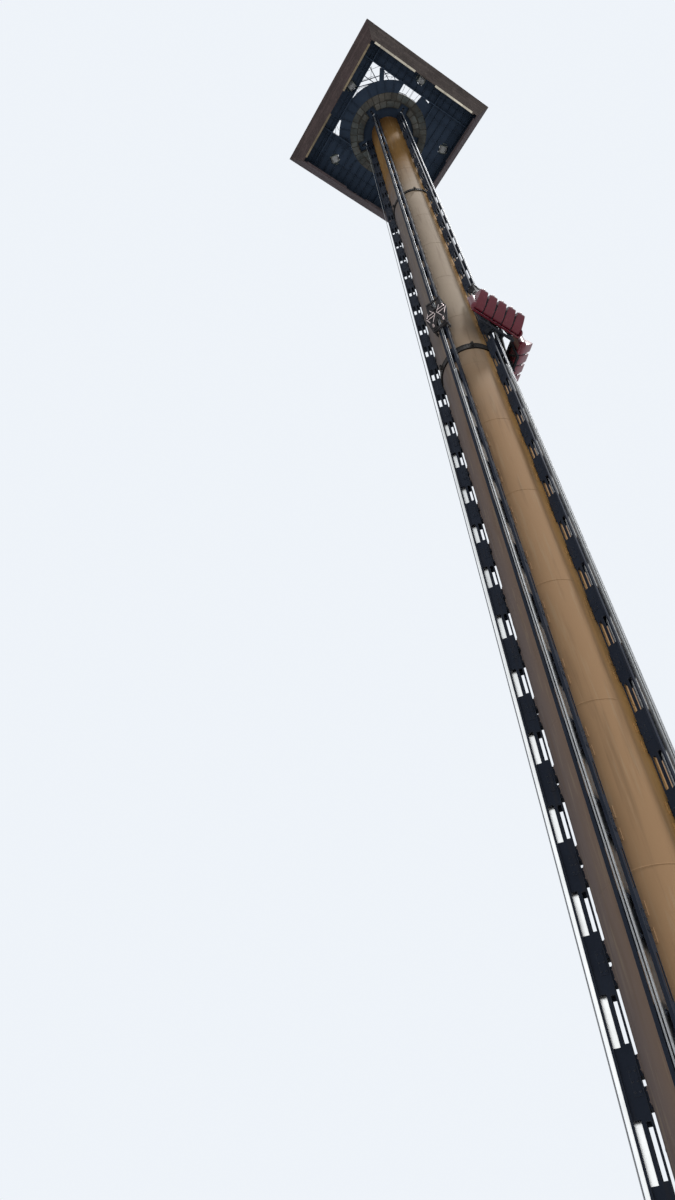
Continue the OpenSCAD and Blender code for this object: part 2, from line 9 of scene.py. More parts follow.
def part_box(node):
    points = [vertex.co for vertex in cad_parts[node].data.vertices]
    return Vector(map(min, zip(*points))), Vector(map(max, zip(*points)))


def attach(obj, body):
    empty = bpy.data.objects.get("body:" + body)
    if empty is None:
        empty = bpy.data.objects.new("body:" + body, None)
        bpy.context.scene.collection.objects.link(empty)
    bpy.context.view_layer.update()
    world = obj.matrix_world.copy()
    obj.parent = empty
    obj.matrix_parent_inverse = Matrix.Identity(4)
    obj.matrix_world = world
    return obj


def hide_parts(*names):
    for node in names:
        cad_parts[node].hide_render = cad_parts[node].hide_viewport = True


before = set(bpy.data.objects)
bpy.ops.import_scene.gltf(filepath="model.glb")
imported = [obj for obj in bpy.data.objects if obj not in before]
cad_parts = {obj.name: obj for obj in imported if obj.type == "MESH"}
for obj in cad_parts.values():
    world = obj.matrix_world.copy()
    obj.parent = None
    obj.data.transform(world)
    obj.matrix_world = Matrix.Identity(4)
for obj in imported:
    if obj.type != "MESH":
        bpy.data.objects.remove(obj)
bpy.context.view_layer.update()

scene = bpy.context.scene
scene.view_settings.view_transform = "Standard"


def new_object(name, data):
    thing = bpy.data.objects.new(name, data)
    scene.collection.objects.link(thing)
    return thing


# Camera: it stands by the foot of the tower and looks steeply up
EYE = Vector((1.396, -1.947, 0.16))
HEADING = 144.94
LOOK_UP = 51.0
LEAN = -3.965
LENS = 28.34
LONG_SIDE = 36.0


def make_camera():
    """The photograph's view: heading from +X, upward angle and lean, all in degrees."""
    heading, up, lean = (radians(a) for a in (HEADING, LOOK_UP, LEAN))
    forward = Vector((cos(heading) * cos(up), sin(heading) * cos(up), sin(up)))
    level = Vector((sin(heading), -cos(heading), 0))
    above = level.cross(forward)
    right = cos(lean) * level + sin(lean) * above
    top = cos(lean) * above - sin(lean) * level
    data = bpy.data.cameras.new("camera")
    data.lens = LENS
    data.sensor_width = LONG_SIDE
    data.clip_start = 0.01
    data.clip_end = 200
    camera = new_object("camera", data)
    turn = Matrix((right, top, -forward)).transposed()
    camera.matrix_world = Matrix.Translation(EYE) @ turn.to_4x4()
    scene.camera = camera


# Mesh tools
TRACK_STEP = 72


def moved(x=0.0, y=0.0, z=0.0):
    return Matrix.Translation((x, y, z))


def turned(angle, axis="Z"):
    return Matrix.Rotation(radians(angle), 4, axis)


# After these turns Z points away from the mast, or along Y
OUTWARD = turned(90, "Y")
SIDEWAYS = turned(-90, "X")


def both_sides(at):
    """The frame's mirror image across Y, and the frame itself."""
    return [at @ Matrix.Diagonal((1, side, 1, 1)) for side in (-1, 1)]


def on_track(k, z=0.0):
    """A track's own frame: X away from the mast, Y along the track's face."""
    return turned((k - 1) * TRACK_STEP) @ moved(z=z)


def between(k):
    """The angle midway between a track and the next."""
    return (k - 0.5) * TRACK_STEP


class Shape:
    """A mesh under way. Each form is drawn in the frame that `at` gives."""

    def __init__(self):
        self.points, self.faces, self.smooth = [], [], []

    def form(self, points, faces, at, smooth=False):
        first = len(self.points)
        self.points += [at @ Vector(p) for p in points]
        self.faces += [[first + i for i in face] for face in faces]
        self.smooth += [smooth] * len(faces)

    def rings(self, loops, at, smooth=False):
        """Skin over closed loops of points of the same count, with flat ends."""
        n = len(loops[0])
        faces = [(i * n + j, i * n + (j + 1) % n, (i + 1) * n + (j + 1) % n, (i + 1) * n + j)
                 for i in range(len(loops) - 1) for j in range(n)]
        points = [p for loop in loops for p in loop]
        self.form(points, faces, at, smooth)
        self.form(loops[0], [tuple(reversed(range(n)))], at)
        self.form(loops[-1], [tuple(range(n))], at)

    def block(self, low, high, at, edge=0.0004):
        """A block with small chamfers along all its edges."""
        (x0, y0, z0), (x1, y1, z1) = low, high
        edge = min(edge, (x1 - x0) / 3, (y1 - y0) / 3, (z1 - z0) / 3)

        def outline(inset, z):
            a, b, c, d, e = x0 + inset, x1 - inset, y0 + inset, y1 - inset, edge
            return [(a + e, c, z), (b - e, c, z), (b, c + e, z), (b, d - e, z),
                    (b - e, d, z), (a + e, d, z), (a, d - e, z), (a, c + e, z)]

        self.rings([outline(edge, z0), outline(0, z0 + edge), outline(0, z1 - edge), outline(edge, z1)], at)

    def turning(self, profile, at, sides=20, smooth=True):
        """A turned piece: (radius, height) points around Z."""
        loops = [[(r * cos(2 * pi * j / sides), r * sin(2 * pi * j / sides), z)
                  for j in range(sides)] for r, z in profile]
        self.rings(loops, at, smooth)

    def tube(self, path, radius, at, sides=10):
        """A round tube along a path of points."""
        path = [Vector(p) for p in path]
        along = (path[1] - path[0]).normalized()
        across = along.orthogonal().normalized()
        loops = []
        for i, p in enumerate(path):
            ahead = path[min(i + 1, len(path) - 1)] - path[max(i - 1, 0)]
            across = (across - across.project(ahead)).normalized()
            other = ahead.normalized().cross(across)
            loops.append([p + radius * (cos(a) * across + sin(a) * other)
                          for a in (2 * pi * j / sides for j in range(sides))])
        self.rings(loops, at, smooth=True)

    def bolt(self, at, size):
        """A hexagon head of that width on a washer, standing up along Z."""
        self.turning([(size * 0.72, 0), (size * 0.72, size * 0.14)], at, 8, smooth=False)
        self.turning([(size * 0.56, size * 0.14), (size * 0.56, size * 0.62), (size * 0.46, size * 0.72)],
                     at, 6, smooth=False)

    def piece(self, name, material, body, slot):
        mesh = bpy.data.meshes.new(name)
        mesh.from_pydata(self.points, [], self.faces)
        mesh.polygons.foreach_set("use_smooth", self.smooth)
        mesh.materials.append(material)
        thing = new_object(name, mesh)
        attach(thing, body)
        return thing


# Node tools
def give(tree, socket, value):
    """Link a value to a socket or set it there. A colour may be given as three numbers."""
    if isinstance(value, bpy.types.NodeSocket):
        tree.links.new(value, socket)
    elif socket.type == "RGBA" and len(value) == 3:
        socket.default_value = (*value, 1)
    else:
        socket.default_value = value


def add(tree, kind, **values):
    """A new shader node. Its sockets are given by name with underscores for spaces, and its settings too."""
    node = tree.nodes.new("ShaderNode" + kind)
    for name, value in values.items():
        socket = node.inputs.get(name.replace("_", " "))
        if socket is None:
            setattr(node, name, value)
        else:
            give(tree, socket, value)
    return node


# Places of the colour sockets among all the sockets of a mix node
MIX_FACTOR, MIX_LOW, MIX_HIGH, MIX_RESULT = 0, 6, 7, 2


def mix_colour(tree, mask, low, high, blend="MIX"):
    """Colour that goes from low to high with the mask."""
    node = add(tree, "Mix", data_type="RGBA", blend_type=blend)
    for index, value in ((MIX_FACTOR, mask), (MIX_LOW, low), (MIX_HIGH, high)):
        give(tree, node.inputs[index], value)
    return node.outputs[MIX_RESULT]


def maths(tree, operation, a, b=0.0, clamp=False):
    node = add(tree, "Math", operation=operation, use_clamp=clamp)
    give(tree, node.inputs[0], a)
    give(tree, node.inputs[1], b)
    return node.outputs[0]


def noise(tree, point, scale, detail, roughness=0.5):
    return add(tree, "TexNoise", Vector=point, Scale=scale, Detail=detail, Roughness=roughness).outputs["Fac"]


def new_group(name, inputs, outputs=("Mask",)):
    """An empty node group with sockets for numbers. The inputs are given with their defaults."""
    tree = bpy.data.node_groups.new(name, "ShaderNodeTree")
    for key, value in inputs.items():
        tree.interface.new_socket(key, in_out="INPUT", socket_type="NodeSocketFloat").default_value = value
    for key in outputs:
        tree.interface.new_socket(key, in_out="OUTPUT", socket_type="NodeSocketFloat")
    return tree, tree.nodes.new("NodeGroupInput").outputs, tree.nodes.new("NodeGroupOutput").inputs


def place(tree, group, **values):
    """The outputs of a group placed in a material, with its own values."""
    return add(tree, "Group", node_tree=group, **values).outputs


def object_point(tree, scale=(1, 1, 1)):
    point = add(tree, "TexCoord").outputs["Object"]
    return add(tree, "Mapping", Vector=point, Scale=scale).outputs[0]


def make_mottle():
    """Soft patches of two sizes, as on aged paint and stone."""
    tree, given, out = new_group("mottle", {"Scale": 4.0, "Contrast": 1.5}, ("Mask", "Grain"))
    point = object_point(tree)
    large = noise(tree, point, given["Scale"], 6.0, 0.6)
    fine = noise(tree, point, maths(tree, "MULTIPLY", given["Scale"], 14.0), 3.0)
    spread = maths(tree, "MULTIPLY", maths(tree, "SUBTRACT", large, 0.5), given["Contrast"])
    tree.links.new(maths(tree, "ADD", spread, 0.5, clamp=True), out["Mask"])
    tree.links.new(fine, out["Grain"])
    return tree


def make_streaks():
    """Dirt that runs down: noise drawn out along Z, kept above a threshold."""
    tree, given, out = new_group("run_down_streaks", {"Scale": 30.0, "Start": 0.5, "End": 0.75})
    drawn_out = noise(tree, object_point(tree, (1, 1, 0.06)), given["Scale"], 4.0, 0.55)
    mask = add(tree, "MapRange", Value=drawn_out, From_Min=given["Start"], From_Max=given["End"])
    tree.links.new(mask.outputs[0], out["Mask"])
    return tree


def make_edge_wear():
    """Mask along edges, from the difference between the true and a rounded normal."""
    tree, given, out = new_group("edge_wear", {"Width": 0.002, "Amount": 1.0, "Scale": 60.0})
    rounded = add(tree, "Bevel", samples=4, Radius=given["Width"])
    dot = add(tree, "VectorMath", operation="DOT_PRODUCT")
    tree.links.new(rounded.outputs[0], dot.inputs[0])
    tree.links.new(add(tree, "NewGeometry").outputs["Normal"], dot.inputs[1])
    edge = maths(tree, "SUBTRACT", 1.0, dot.outputs["Value"])
    broken = maths(tree, "MULTIPLY", edge, noise(tree, object_point(tree), given["Scale"], 4.0))
    strong = maths(tree, "MULTIPLY", broken, given["Amount"])
    tree.links.new(maths(tree, "MULTIPLY", strong, 6.0, clamp=True), out["Mask"])
    return tree


MOTTLE = make_mottle()
STREAKS = make_streaks()
WEAR = make_edge_wear()


class Finish:
    """A material under way: its tree, its Principled shader and the colour so far."""

    def __init__(self, name, roughness=0.5, metallic=0.0, coat=0.0, specular=0.5):
        self.material = bpy.data.materials.new(name)
        self.material.use_nodes = True
        self.tree = self.material.node_tree
        self.shader = self.tree.nodes["Principled BSDF"]
        values = {"Roughness": roughness, "Metallic": metallic, "Coat Weight": coat,
                  "Specular IOR Level": specular}
        for key, value in values.items():
            self.shader.inputs[key].default_value = value
        self.colour = None

    def patches(self, low, high, scale=4.0, contrast=1.5):
        self.mottle = place(self.tree, MOTTLE, Scale=scale, Contrast=contrast)
        self.colour = mix_colour(self.tree, self.mottle["Mask"], low, high)
        return self

    def cover(self, mask, strength, colour):
        """Lay a colour over the finish where the mask is."""
        self.colour = mix_colour(self.tree, maths(self.tree, "MULTIPLY", mask, strength), self.colour, colour)

    def streak(self, colour, strength=0.5, scale=30.0, start=0.5, end=0.75):
        self.cover(place(self.tree, STREAKS, Scale=scale, Start=start, End=end)["Mask"], strength, colour)
        return self

    def worn_edges(self, colour, width=0.002, amount=1.0):
        mask = place(self.tree, WEAR, Width=width, Amount=amount)["Mask"]
        self.colour = mix_colour(self.tree, mask, self.colour, colour)
        return self

    def vary(self, darkest, lightest):
        """Make each loose part of the mesh, such as a board or a stone, a little different."""
        island = add(self.tree, "NewGeometry").outputs["Random Per Island"]
        tone = add(self.tree, "MapRange", Value=island, To_Min=darkest, To_Max=lightest).outputs[0]
        grey = add(self.tree, "CombineColor", Red=tone, Green=tone, Blue=tone).outputs[0]
        self.colour = mix_colour(self.tree, 1.0, self.colour, grey, "MULTIPLY")

    def relief(self, height, strength, distance):
        bump = add(self.tree, "Bump", Height=height, Strength=strength, Distance=distance)
        self.tree.links.new(bump.outputs[0], self.shader.inputs["Normal"])
        return self

    def grain(self, strength=0.1, distance=0.001):
        return self.relief(self.mottle["Grain"], strength, distance)

    def done(self):
        self.tree.links.new(self.colour, self.shader.inputs["Base Color"])
        return self.material


def make_compass():
    """How much a place round the tower's axis looks towards an azimuth, from 0 behind to 1."""
    tree, given, out = new_group("compass_side", {"Azimuth": 0.0, "Width": 1.0})
    parts = add(tree, "SeparateXYZ", Vector=object_point(tree)).outputs
    angle = maths(tree, "ARCTAN2", parts[1], parts[0])
    facing = maths(tree, "COSINE", maths(tree, "SUBTRACT", angle, given["Azimuth"]))
    spread = maths(tree, "DIVIDE", maths(tree, "SUBTRACT", facing, 1.0), given["Width"])
    tree.links.new(maths(tree, "ADD", spread, 1.0, clamp=True), out["Mask"])
    return tree


def make_height_fade():
    """A mask that goes from 0 at one height to 1 at another, with a ragged front."""
    tree, given, out = new_group("height_fade", {"From": 0.0, "To": 1.0, "Ragged": 0.1})
    point = object_point(tree)
    parts = add(tree, "SeparateXYZ", Vector=point).outputs
    ragged = maths(tree, "SUBTRACT", noise(tree, point, 9.0, 4.0), 0.5)
    height = maths(tree, "ADD", parts[2], maths(tree, "MULTIPLY", ragged, given["Ragged"]))
    mask = add(tree, "MapRange", Value=height, From_Min=given["From"], From_Max=given["To"])
    tree.links.new(mask.outputs[0], out["Mask"])
    return tree


def make_fine_ribs():
    """Fine slanting ribs, as of wire strands or woven webbing."""
    tree, given, out = new_group("fine_ribs", {"Scale": 300.0, "Slant": 1.0}, ("Height",))
    parts = add(tree, "SeparateXYZ", Vector=object_point(tree)).outputs
    sideways = maths(tree, "ADD", parts[0], parts[1])
    slanted = maths(tree, "ADD", parts[2], maths(tree, "MULTIPLY", sideways, given["Slant"]))
    wave = maths(tree, "SINE", maths(tree, "MULTIPLY", slanted, given["Scale"]))
    # The node adds its own third value, 0.5, so that the height runs from 0 to 1
    tree.links.new(maths(tree, "MULTIPLY_ADD", wave, 0.5), out["Height"])
    return tree


COMPASS = make_compass()
HEIGHT_FADE = make_height_fade()
FINE_RIBS = make_fine_ribs()


def mast_paint_and_shade():
    """Tan paint, golden low down, with painted shade: a gold strip by the first track for its shadow, lilac
    grey on the shaded side, orange near the crown for its shadow and darker just under the crown.
    """
    paint = Finish("mast_paint_and_shade", roughness=0.85, specular=0.06)
    paint.patches((0.292, 0.228, 0.172), (0.362, 0.286, 0.214), scale=1.6, contrast=2.0)
    layers = [
        (HEIGHT_FADE, {"From": 5.3, "To": 3.9, "Ragged": 0.5}, 0.8, (0.325, 0.184, 0.086)),
        # Painted shade: lilac grey on the side of the mast away from the key light.
        (COMPASS, {"Azimuth": radians(-125), "Width": 0.55}, 0.8, (0.103, 0.096, 0.11)),
        # Painted shade: a narrow gold strip on the mast beside the first track, for the track's shadow.
        (COMPASS, {"Azimuth": radians(-3), "Width": 0.03}, 0.8, (0.5, 0.275, 0.09)),
        # Painted shadow of the crown: orange on the mast from the upper band up.
        (HEIGHT_FADE, {"From": 7.65, "To": 8.5, "Ragged": 0.6}, 0.95, (0.205, 0.108, 0.03)),
        # Painted shade: darker still on the mast just under the crown.
        (HEIGHT_FADE, {"From": 9.35, "To": 9.8, "Ragged": 0.2}, 0.6, (0.085, 0.038, 0.012)),
    ]
    for group, values, strength, colour in layers:
        paint.cover(place(paint.tree, group, **values)["Mask"], strength, colour)
    paint.streak((0.13, 0.085, 0.052), 0.4, scale=34, start=0.52, end=0.72)
    paint.streak((0.38, 0.3, 0.2), 0.22, scale=75, start=0.56, end=0.7)
    return paint.grain(0.06).done()


def dark_steel(name, low=(0.012, 0.014, 0.02), high=(0.03, 0.034, 0.044), wear=0.7):
    steel = Finish(name, roughness=0.7, specular=0.1)
    steel.patches(low, high, scale=6)
    steel.streak((0.04, 0.032, 0.028), 0.3, scale=55, start=0.55, end=0.75)
    steel.worn_edges((0.11, 0.11, 0.12), 0.0012, wear)
    return steel.grain(0.08).done()


def bright_steel(name, low, high, roughness=0.3, dirt=0.4):
    steel = Finish(name, roughness=roughness, metallic=1.0)
    steel.patches(low, high, scale=12)
    steel.streak((0.25, 0.24, 0.23), dirt, scale=60)
    return steel.grain(0.05).done()


def wire_rope():
    """Steel wire rope, greased, with its strands in relief."""
    rope = Finish("rope_steel", roughness=0.5, metallic=0.3)
    rope.patches((0.3, 0.31, 0.33), (0.44, 0.45, 0.46), scale=20)
    ribs = place(rope.tree, FINE_RIBS, Scale=1500.0, Slant=1.2)["Height"]
    rope.cover(ribs, 0.3, (0.1, 0.1, 0.1))
    return rope.relief(ribs, 0.6, 0.0004).done()


def red_shell():
    """Glossy maroon gel coat, with fine scuffs on its edges and dust in streaks running down."""
    shell = Finish("red_shell", roughness=0.38, coat=0.25, specular=0.25)
    shell.patches((0.085, 0.007, 0.016), (0.135, 0.011, 0.025), scale=5)
    shell.streak((0.34, 0.1, 0.1), 0.18, scale=70, start=0.55, end=0.75)
    shell.worn_edges((0.42, 0.16, 0.16), 0.0012, 0.35)
    return shell.grain(0.02).done()


def stone():
    """Bluish grey stone with brown patches, each block a little different."""
    rock = Finish("stone", roughness=0.9, specular=0.25)
    rock.patches((0.022, 0.028, 0.03), (0.084, 0.1, 0.102), scale=9, contrast=2.6)
    rust = place(rock.tree, MOTTLE, Scale=5.0, Contrast=3.0)["Mask"]
    rock.cover(rust, 0.45, (0.095, 0.066, 0.044))
    rock.vary(0.7, 1.3)
    return rock.grain(0.6, 0.003).done()


def joint_stone():
    """The dark bed between the stones."""
    bed = Finish("stone_bed", roughness=0.95)
    bed.patches((0.014, 0.013, 0.011), (0.034, 0.031, 0.025), scale=16)
    return bed.grain(0.5, 0.002).done()


def board_paint(name, low, high, streak, strength=0.45):
    """Weathered boards: each a little different, with grain along it and streaks down."""
    boards = Finish(name, roughness=0.8, specular=0.2)
    boards.patches(low, high, scale=7, contrast=1.8)
    boards.vary(0.72, 1.22)
    tree = boards.tree
    lines = noise(tree, object_point(tree, (3, 3, 260)), 2.0, 5.0)
    boards.cover(maths(tree, "GREATER_THAN", lines, 0.56), 0.35, tuple(0.45 * c for c in low))
    boards.streak(streak, strength, scale=46, start=0.55, end=0.78)
    boards.worn_edges(streak, 0.0016, 0.7)
    return boards.relief(lines, 0.25, 0.001).done()


def vinyl():
    """Dark soft coating on pads, with a fine leather grain."""
    skin = Finish("pad_vinyl", roughness=0.55)
    skin.patches((0.012, 0.012, 0.014), (0.026, 0.026, 0.029), scale=20)
    skin.shader.inputs["Sheen Weight"].default_value = 0.15
    pores = add(skin.tree, "TexVoronoi", Vector=object_point(skin.tree), Scale=900.0)
    return skin.relief(pores.outputs["Distance"], 0.25, 0.0003).done()


def webbing():
    strap = Finish("strap_webbing", roughness=0.8)
    strap.patches((0.03, 0.03, 0.034), (0.06, 0.06, 0.064), scale=30)
    ribs = place(strap.tree, FINE_RIBS, Scale=3200.0, Slant=0.0)["Height"]
    return strap.relief(ribs, 0.5, 0.0003).done()


def rubber():
    black = Finish("black_rubber", roughness=0.7)
    black.patches((0.012, 0.012, 0.012), (0.024, 0.024, 0.024), scale=14)
    return black.grain(0.2, 0.0004).done()


MAST_PAINT_AND_SHADE = mast_paint_and_shade()
DARK = dark_steel("dark_steel")
TRACK_PAINT = dark_steel("track_paint", (0.01, 0.014, 0.024), (0.024, 0.031, 0.048))
BAND_PAINT = dark_steel("band_paint", (0.02, 0.018, 0.018), (0.045, 0.04, 0.038))
SOFFIT = dark_steel("soffit_steel", (0.014, 0.024, 0.042), (0.03, 0.046, 0.076), 0.3)
DECK_GREY = dark_steel("deck_grey", (0.05, 0.055, 0.062), (0.09, 0.098, 0.108), 0.8)
CAR_STEEL = dark_steel("car_steel", (0.012, 0.012, 0.014), (0.034, 0.03, 0.031), 1.0)
MAGNETS = dark_steel("magnet_coat", (0.05, 0.05, 0.052), (0.09, 0.09, 0.092))
FIN_STEEL = bright_steel("fin_steel", (0.66, 0.66, 0.64), (0.86, 0.86, 0.84), 0.32, 0.25)
GALVANISED = bright_steel("galvanised", (0.42, 0.43, 0.44), (0.62, 0.63, 0.64), 0.45)
PALE_STEEL = bright_steel("pale_struts", (0.6, 0.48, 0.47), (0.8, 0.68, 0.66), 0.4, 0.3)
RESTRAINT_STEEL = bright_steel("restraint_steel", (0.42, 0.42, 0.42), (0.6, 0.6, 0.59), 0.35, 0.3)
HOIST_STEEL = dark_steel("hoist_paint", (0.1, 0.115, 0.095), (0.22, 0.235, 0.2), 1.2)
ROPE_STEEL = wire_rope()
RED_SHELL = red_shell()
STONE = stone()
STONE_BED = joint_stone()
VINYL = vinyl()
WEBBING = webbing()
RUBBER = rubber()
# Each side's boards get their own tone for how light falls on that side, as painted light and shade; the west
# and north sides take the dark, shaded tone.
BOARDS = {
    "south": board_paint("boards_reddish", (0.042, 0.029, 0.029), (0.084, 0.058, 0.056),
                         (0.135, 0.105, 0.092)),
    "east": board_paint("boards_greyish", (0.055, 0.043, 0.04), (0.105, 0.084, 0.078), (0.175, 0.142, 0.12)),
    "west": board_paint("boards_dark_painted_shade", (0.04, 0.03, 0.034), (0.078, 0.058, 0.064), (0.125, 0.095, 0.095)),
}
BOARDS["north"] = BOARDS["west"]
# The ledges are the same boards in light and shade: painted light on the south ledge as tan, painted sunlight
# on the east ledge as pale, and the boards' dark, shaded tone on the west and north ledges.
LEDGES = {
    "south": board_paint("ledge_tan_painted_light", (0.17, 0.135, 0.09), (0.26, 0.21, 0.14), (0.1, 0.08, 0.06)),
    "east": board_paint("ledge_pale_painted_sunlight", (0.58, 0.53, 0.43), (0.82, 0.76, 0.64), (0.3, 0.24, 0.18), 0.3),
}
LEDGES["west"] = LEDGES["north"] = BOARDS["west"]
FINISHES = {
    "base_plate": DARK,
    "mast": MAST_PAINT_AND_SHADE,
    "track": TRACK_PAINT,
    "ring_bands": BAND_PAINT,
    "brake_fins": FIN_STEEL,
    "lift_ropes": ROPE_STEEL,
    "rope_anchors": DARK,
    "head_sheaves": DARK,
    "stone_ring": STONE_BED,
    "drum_house": SOFFIT,
    "rope_covers": SOFFIT,
    "deck": SOFFIT,
    "fascia": BOARDS["west"],
    "fascia_south": BOARDS["south"],
    "fascia_east": BOARDS["east"],
    "hoists": HOIST_STEEL,
    "lift_car": CAR_STEEL,
    "carriage": DARK,
    "shell": RED_SHELL,
    "seats": RED_SHELL,
}


def finish_nodes():
    """Give each CAD node its finish, by the longest key that its name starts with."""
    for name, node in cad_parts.items():
        key = max((k for k in FINISHES if name.startswith(k)), key=len)
        node.data.materials.clear()
        node.data.materials.append(FINISHES[key])


# Light and surroundings
def make_world():
    world = bpy.data.worlds.new("studio")
    world.use_nodes = True
    tree = world.node_tree
    tree.nodes.clear()
    light = add(tree, "Background", Color=(0.9, 0.95, 1.0, 1), Strength=0.42)
    seen = add(tree, "Background", Color=(0.86, 0.9, 0.95, 1), Strength=1.0)
    path = add(tree, "LightPath").outputs
    shown = maths(tree, "MAXIMUM", path["Is Camera Ray"], path["Is Glossy Ray"])
    shown = maths(tree, "MAXIMUM", shown, path["Is Transmission Ray"])
    mix = add(tree, "MixShader")
    tree.links.new(shown, mix.inputs[0])
    tree.links.new(light.outputs[0], mix.inputs[1])
    tree.links.new(seen.outputs[0], mix.inputs[2])
    tree.links.new(mix.outputs[0], add(tree, "OutputWorld").inputs[0])
    scene.world = world


def make_sun(name, azimuth, elevation, strength, softness):
    """A broad lamp that shines from the given direction, in degrees from +X and above the horizon."""
    data = bpy.data.lights.new(name, "SUN")
    data.energy = strength
    data.angle = radians(softness)
    lamp = new_object(name, data)
    a, e = radians(azimuth), radians(elevation)
    towards = Vector((cos(a) * cos(e), sin(a) * cos(e), sin(e)))
    lamp.rotation_mode = "QUATERNION"
    lamp.rotation_quaternion = towards.to_track_quat("Z", "Y")


def make_floor(size=60.0):
    half = size / 2
    mesh = bpy.data.meshes.new("floor")
    corners = [(-half, -half, 0), (half, -half, 0), (half, half, 0), (-half, half, 0)]
    mesh.from_pydata(corners, [], [(0, 1, 2, 3)])
    floor = new_object("floor", mesh)
    floor.location.z = -0.002
    pale = Finish("pale_floor", roughness=0.9)
    pale.patches((0.5, 0.5, 0.49), (0.54, 0.54, 0.53), scale=0.5)
    mesh.materials.append(pale.done())


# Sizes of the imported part, in metres
WEB_OUT = 0.018
FIN_OUT = 0.0065
FIN_FOOT = 0.16
FIN_TOP = 4.49
ROPE_R = 0.229
ROPE_SIDE = 0.004
BAR_FACE = 0.244
CHEEK_OUT = 0.043
WHEEL_X = (0.2225, 0.2025)
BASE_TOP = 0.014
ANCHOR_TOP = 0.054
BAY = 0.3
BAY_JOINTS = [0.24 + i * BAY for i in range(33)]
BANDS = ((4.772, 0.026), (7.57, 0.018))
CROWN_LOW = 9.813
DECK_UNDER = 9.939
DECK_TOP = 9.945
FLOOR_TOP = 9.971
TOP = 10.0
DECK_HALF = 0.628
GALLERY_R = 0.372
# West, east, south and north edges of the opening in the deck
OPENING = (-0.251, 0.44, -0.469, 0.215)
HOIST_R = 0.552
HOIST_Z = 9.955
SEAT_X = 0.2496
SEAT_BASE = 0.09
SEAT_PITCH = 0.062
SEATS = range(-2, 3)
TRACKS = range(1, 6)
# Height above which the tracks have no brackets
TRACK_END = 9.93
DRUM_WALL_R = 0.365
# How far fittings are let into the face they stand on: small ones, then plates
SINK = 0.0003
ROOT = 0.0005
# Profile of a small rivet: radius, height
RIVET = [(0.0011, 0), (0.0009, 0.0005), (0.0004, 0.0007)]


def near_band(z):
    """Whether a bracket at that height would touch a ring band."""
    return any(abs(z - middle) < half + 0.035 for middle, half in BANDS)


def anchor_bolts():
    shape = Shape()
    for i in range(20):
        at = turned((i + 0.5) * 18) @ moved(0.268, 0, BASE_TOP)
        shape.turning([(0.0085, 0), (0.0085, 0.002)], at, 20, smooth=False)
        shape.bolt(at @ moved(z=0.002), 0.0125)
        shape.turning([(0.0038, 0.008), (0.0038, 0.017), (0.003, 0.018)], at, 12)
    shape.piece("anchor_bolts", GALVANISED, "tower", "foot")


def rope_sockets():
    """Cast sockets that hold the lower ends of the ropes, each on its screw."""
    shape = Shape()
    for k in TRACKS:
        for y in (-ROPE_SIDE, ROPE_SIDE):
            at = on_track(k) @ moved(ROPE_R, y, ANCHOR_TOP)
            shape.turning([(0.0036, 0), (0.0036, 0.006), (0.0024, 0.007), (0.0024, 0.016), (0.0034, 0.018),
                           (0.0034, 0.026), (0.002, 0.044), (0.0017, 0.045)], at, 12)
    shape.piece("rope_sockets", GALVANISED, "tower", "rope")


def track_joints(k):
    """Bolted plates over the joints of the side plates, and the pads of the brackets on the mast."""
    shape, pads = Shape(), Shape()
    for z in BAY_JOINTS:
        for at in both_sides(on_track(k, z)):
            out = at @ moved(0.179, WEB_OUT, 0)
            shape.block((0.169, WEB_OUT - ROOT, -0.034), (0.189, WEB_OUT + 0.0016, 0.034), at)
            for x in (-0.006, 0.006):
                for dz in (-0.024, 0, 0.024):
                    shape.bolt(out @ moved(x, 0.0016, dz) @ SIDEWAYS, 0.0036)
            for middle in (-0.037, 0.037):
                if near_band(z + middle) or z + middle > TRACK_END:
                    continue
                pads.block((0.1525, 0.0115, middle - 0.021), (0.1572, 0.0235, middle + 0.021), at)
                for dz in (-0.013, 0.013):
                    pads.bolt(at @ moved(0.1572, 0.018, middle + dz) @ OUTWARD, 0.0034)
    shape.piece(f"track_joints_{k}", TRACK_PAINT, "tower", "track")
    pads.piece(f"track_pads_{k}", MAST_PAINT_AND_SHADE, "tower", "mast")


def fin_clamps():
    """Clamps that hold the brake fins between the side plates."""
    shape = Shape()
    heights = [z + dz for z in BAY_JOINTS for dz in (-0.055, 0.055)]
    for k in TRACKS:
        for z in heights:
            if FIN_FOOT < z < FIN_TOP - 0.02:
                for at in both_sides(on_track(k, z)):
                    shape.block((0.192, FIN_OUT - ROOT, -0.007), (0.2105, FIN_OUT + 0.002, 0.007), at)
                    shape.block((0.196, FIN_OUT + 0.001, -0.002), (0.204, 0.0155, 0.002), at)
                    shape.bolt(at @ moved(0.2075, FIN_OUT + 0.002, 0) @ SIDEWAYS, 0.0036)
    shape.piece("fin_clamps", TRACK_PAINT, "tower", "fins")


def mast_seams():
    """Weld seams round the mast between its rolled plates."""
    shape = Shape()
    lowest, plate_height = 0.39, 0.6
    bead = [(0.1555, -0.0022), (0.1565, -0.0012), (0.1568, 0), (0.1565, 0.0012), (0.1555, 0.0022)]
    for i in range(16):
        shape.turning(bead, moved(z=lowest + i * plate_height), 96)
    shape.piece("mast_seams", MAST_PAINT_AND_SHADE, "tower", "mast")


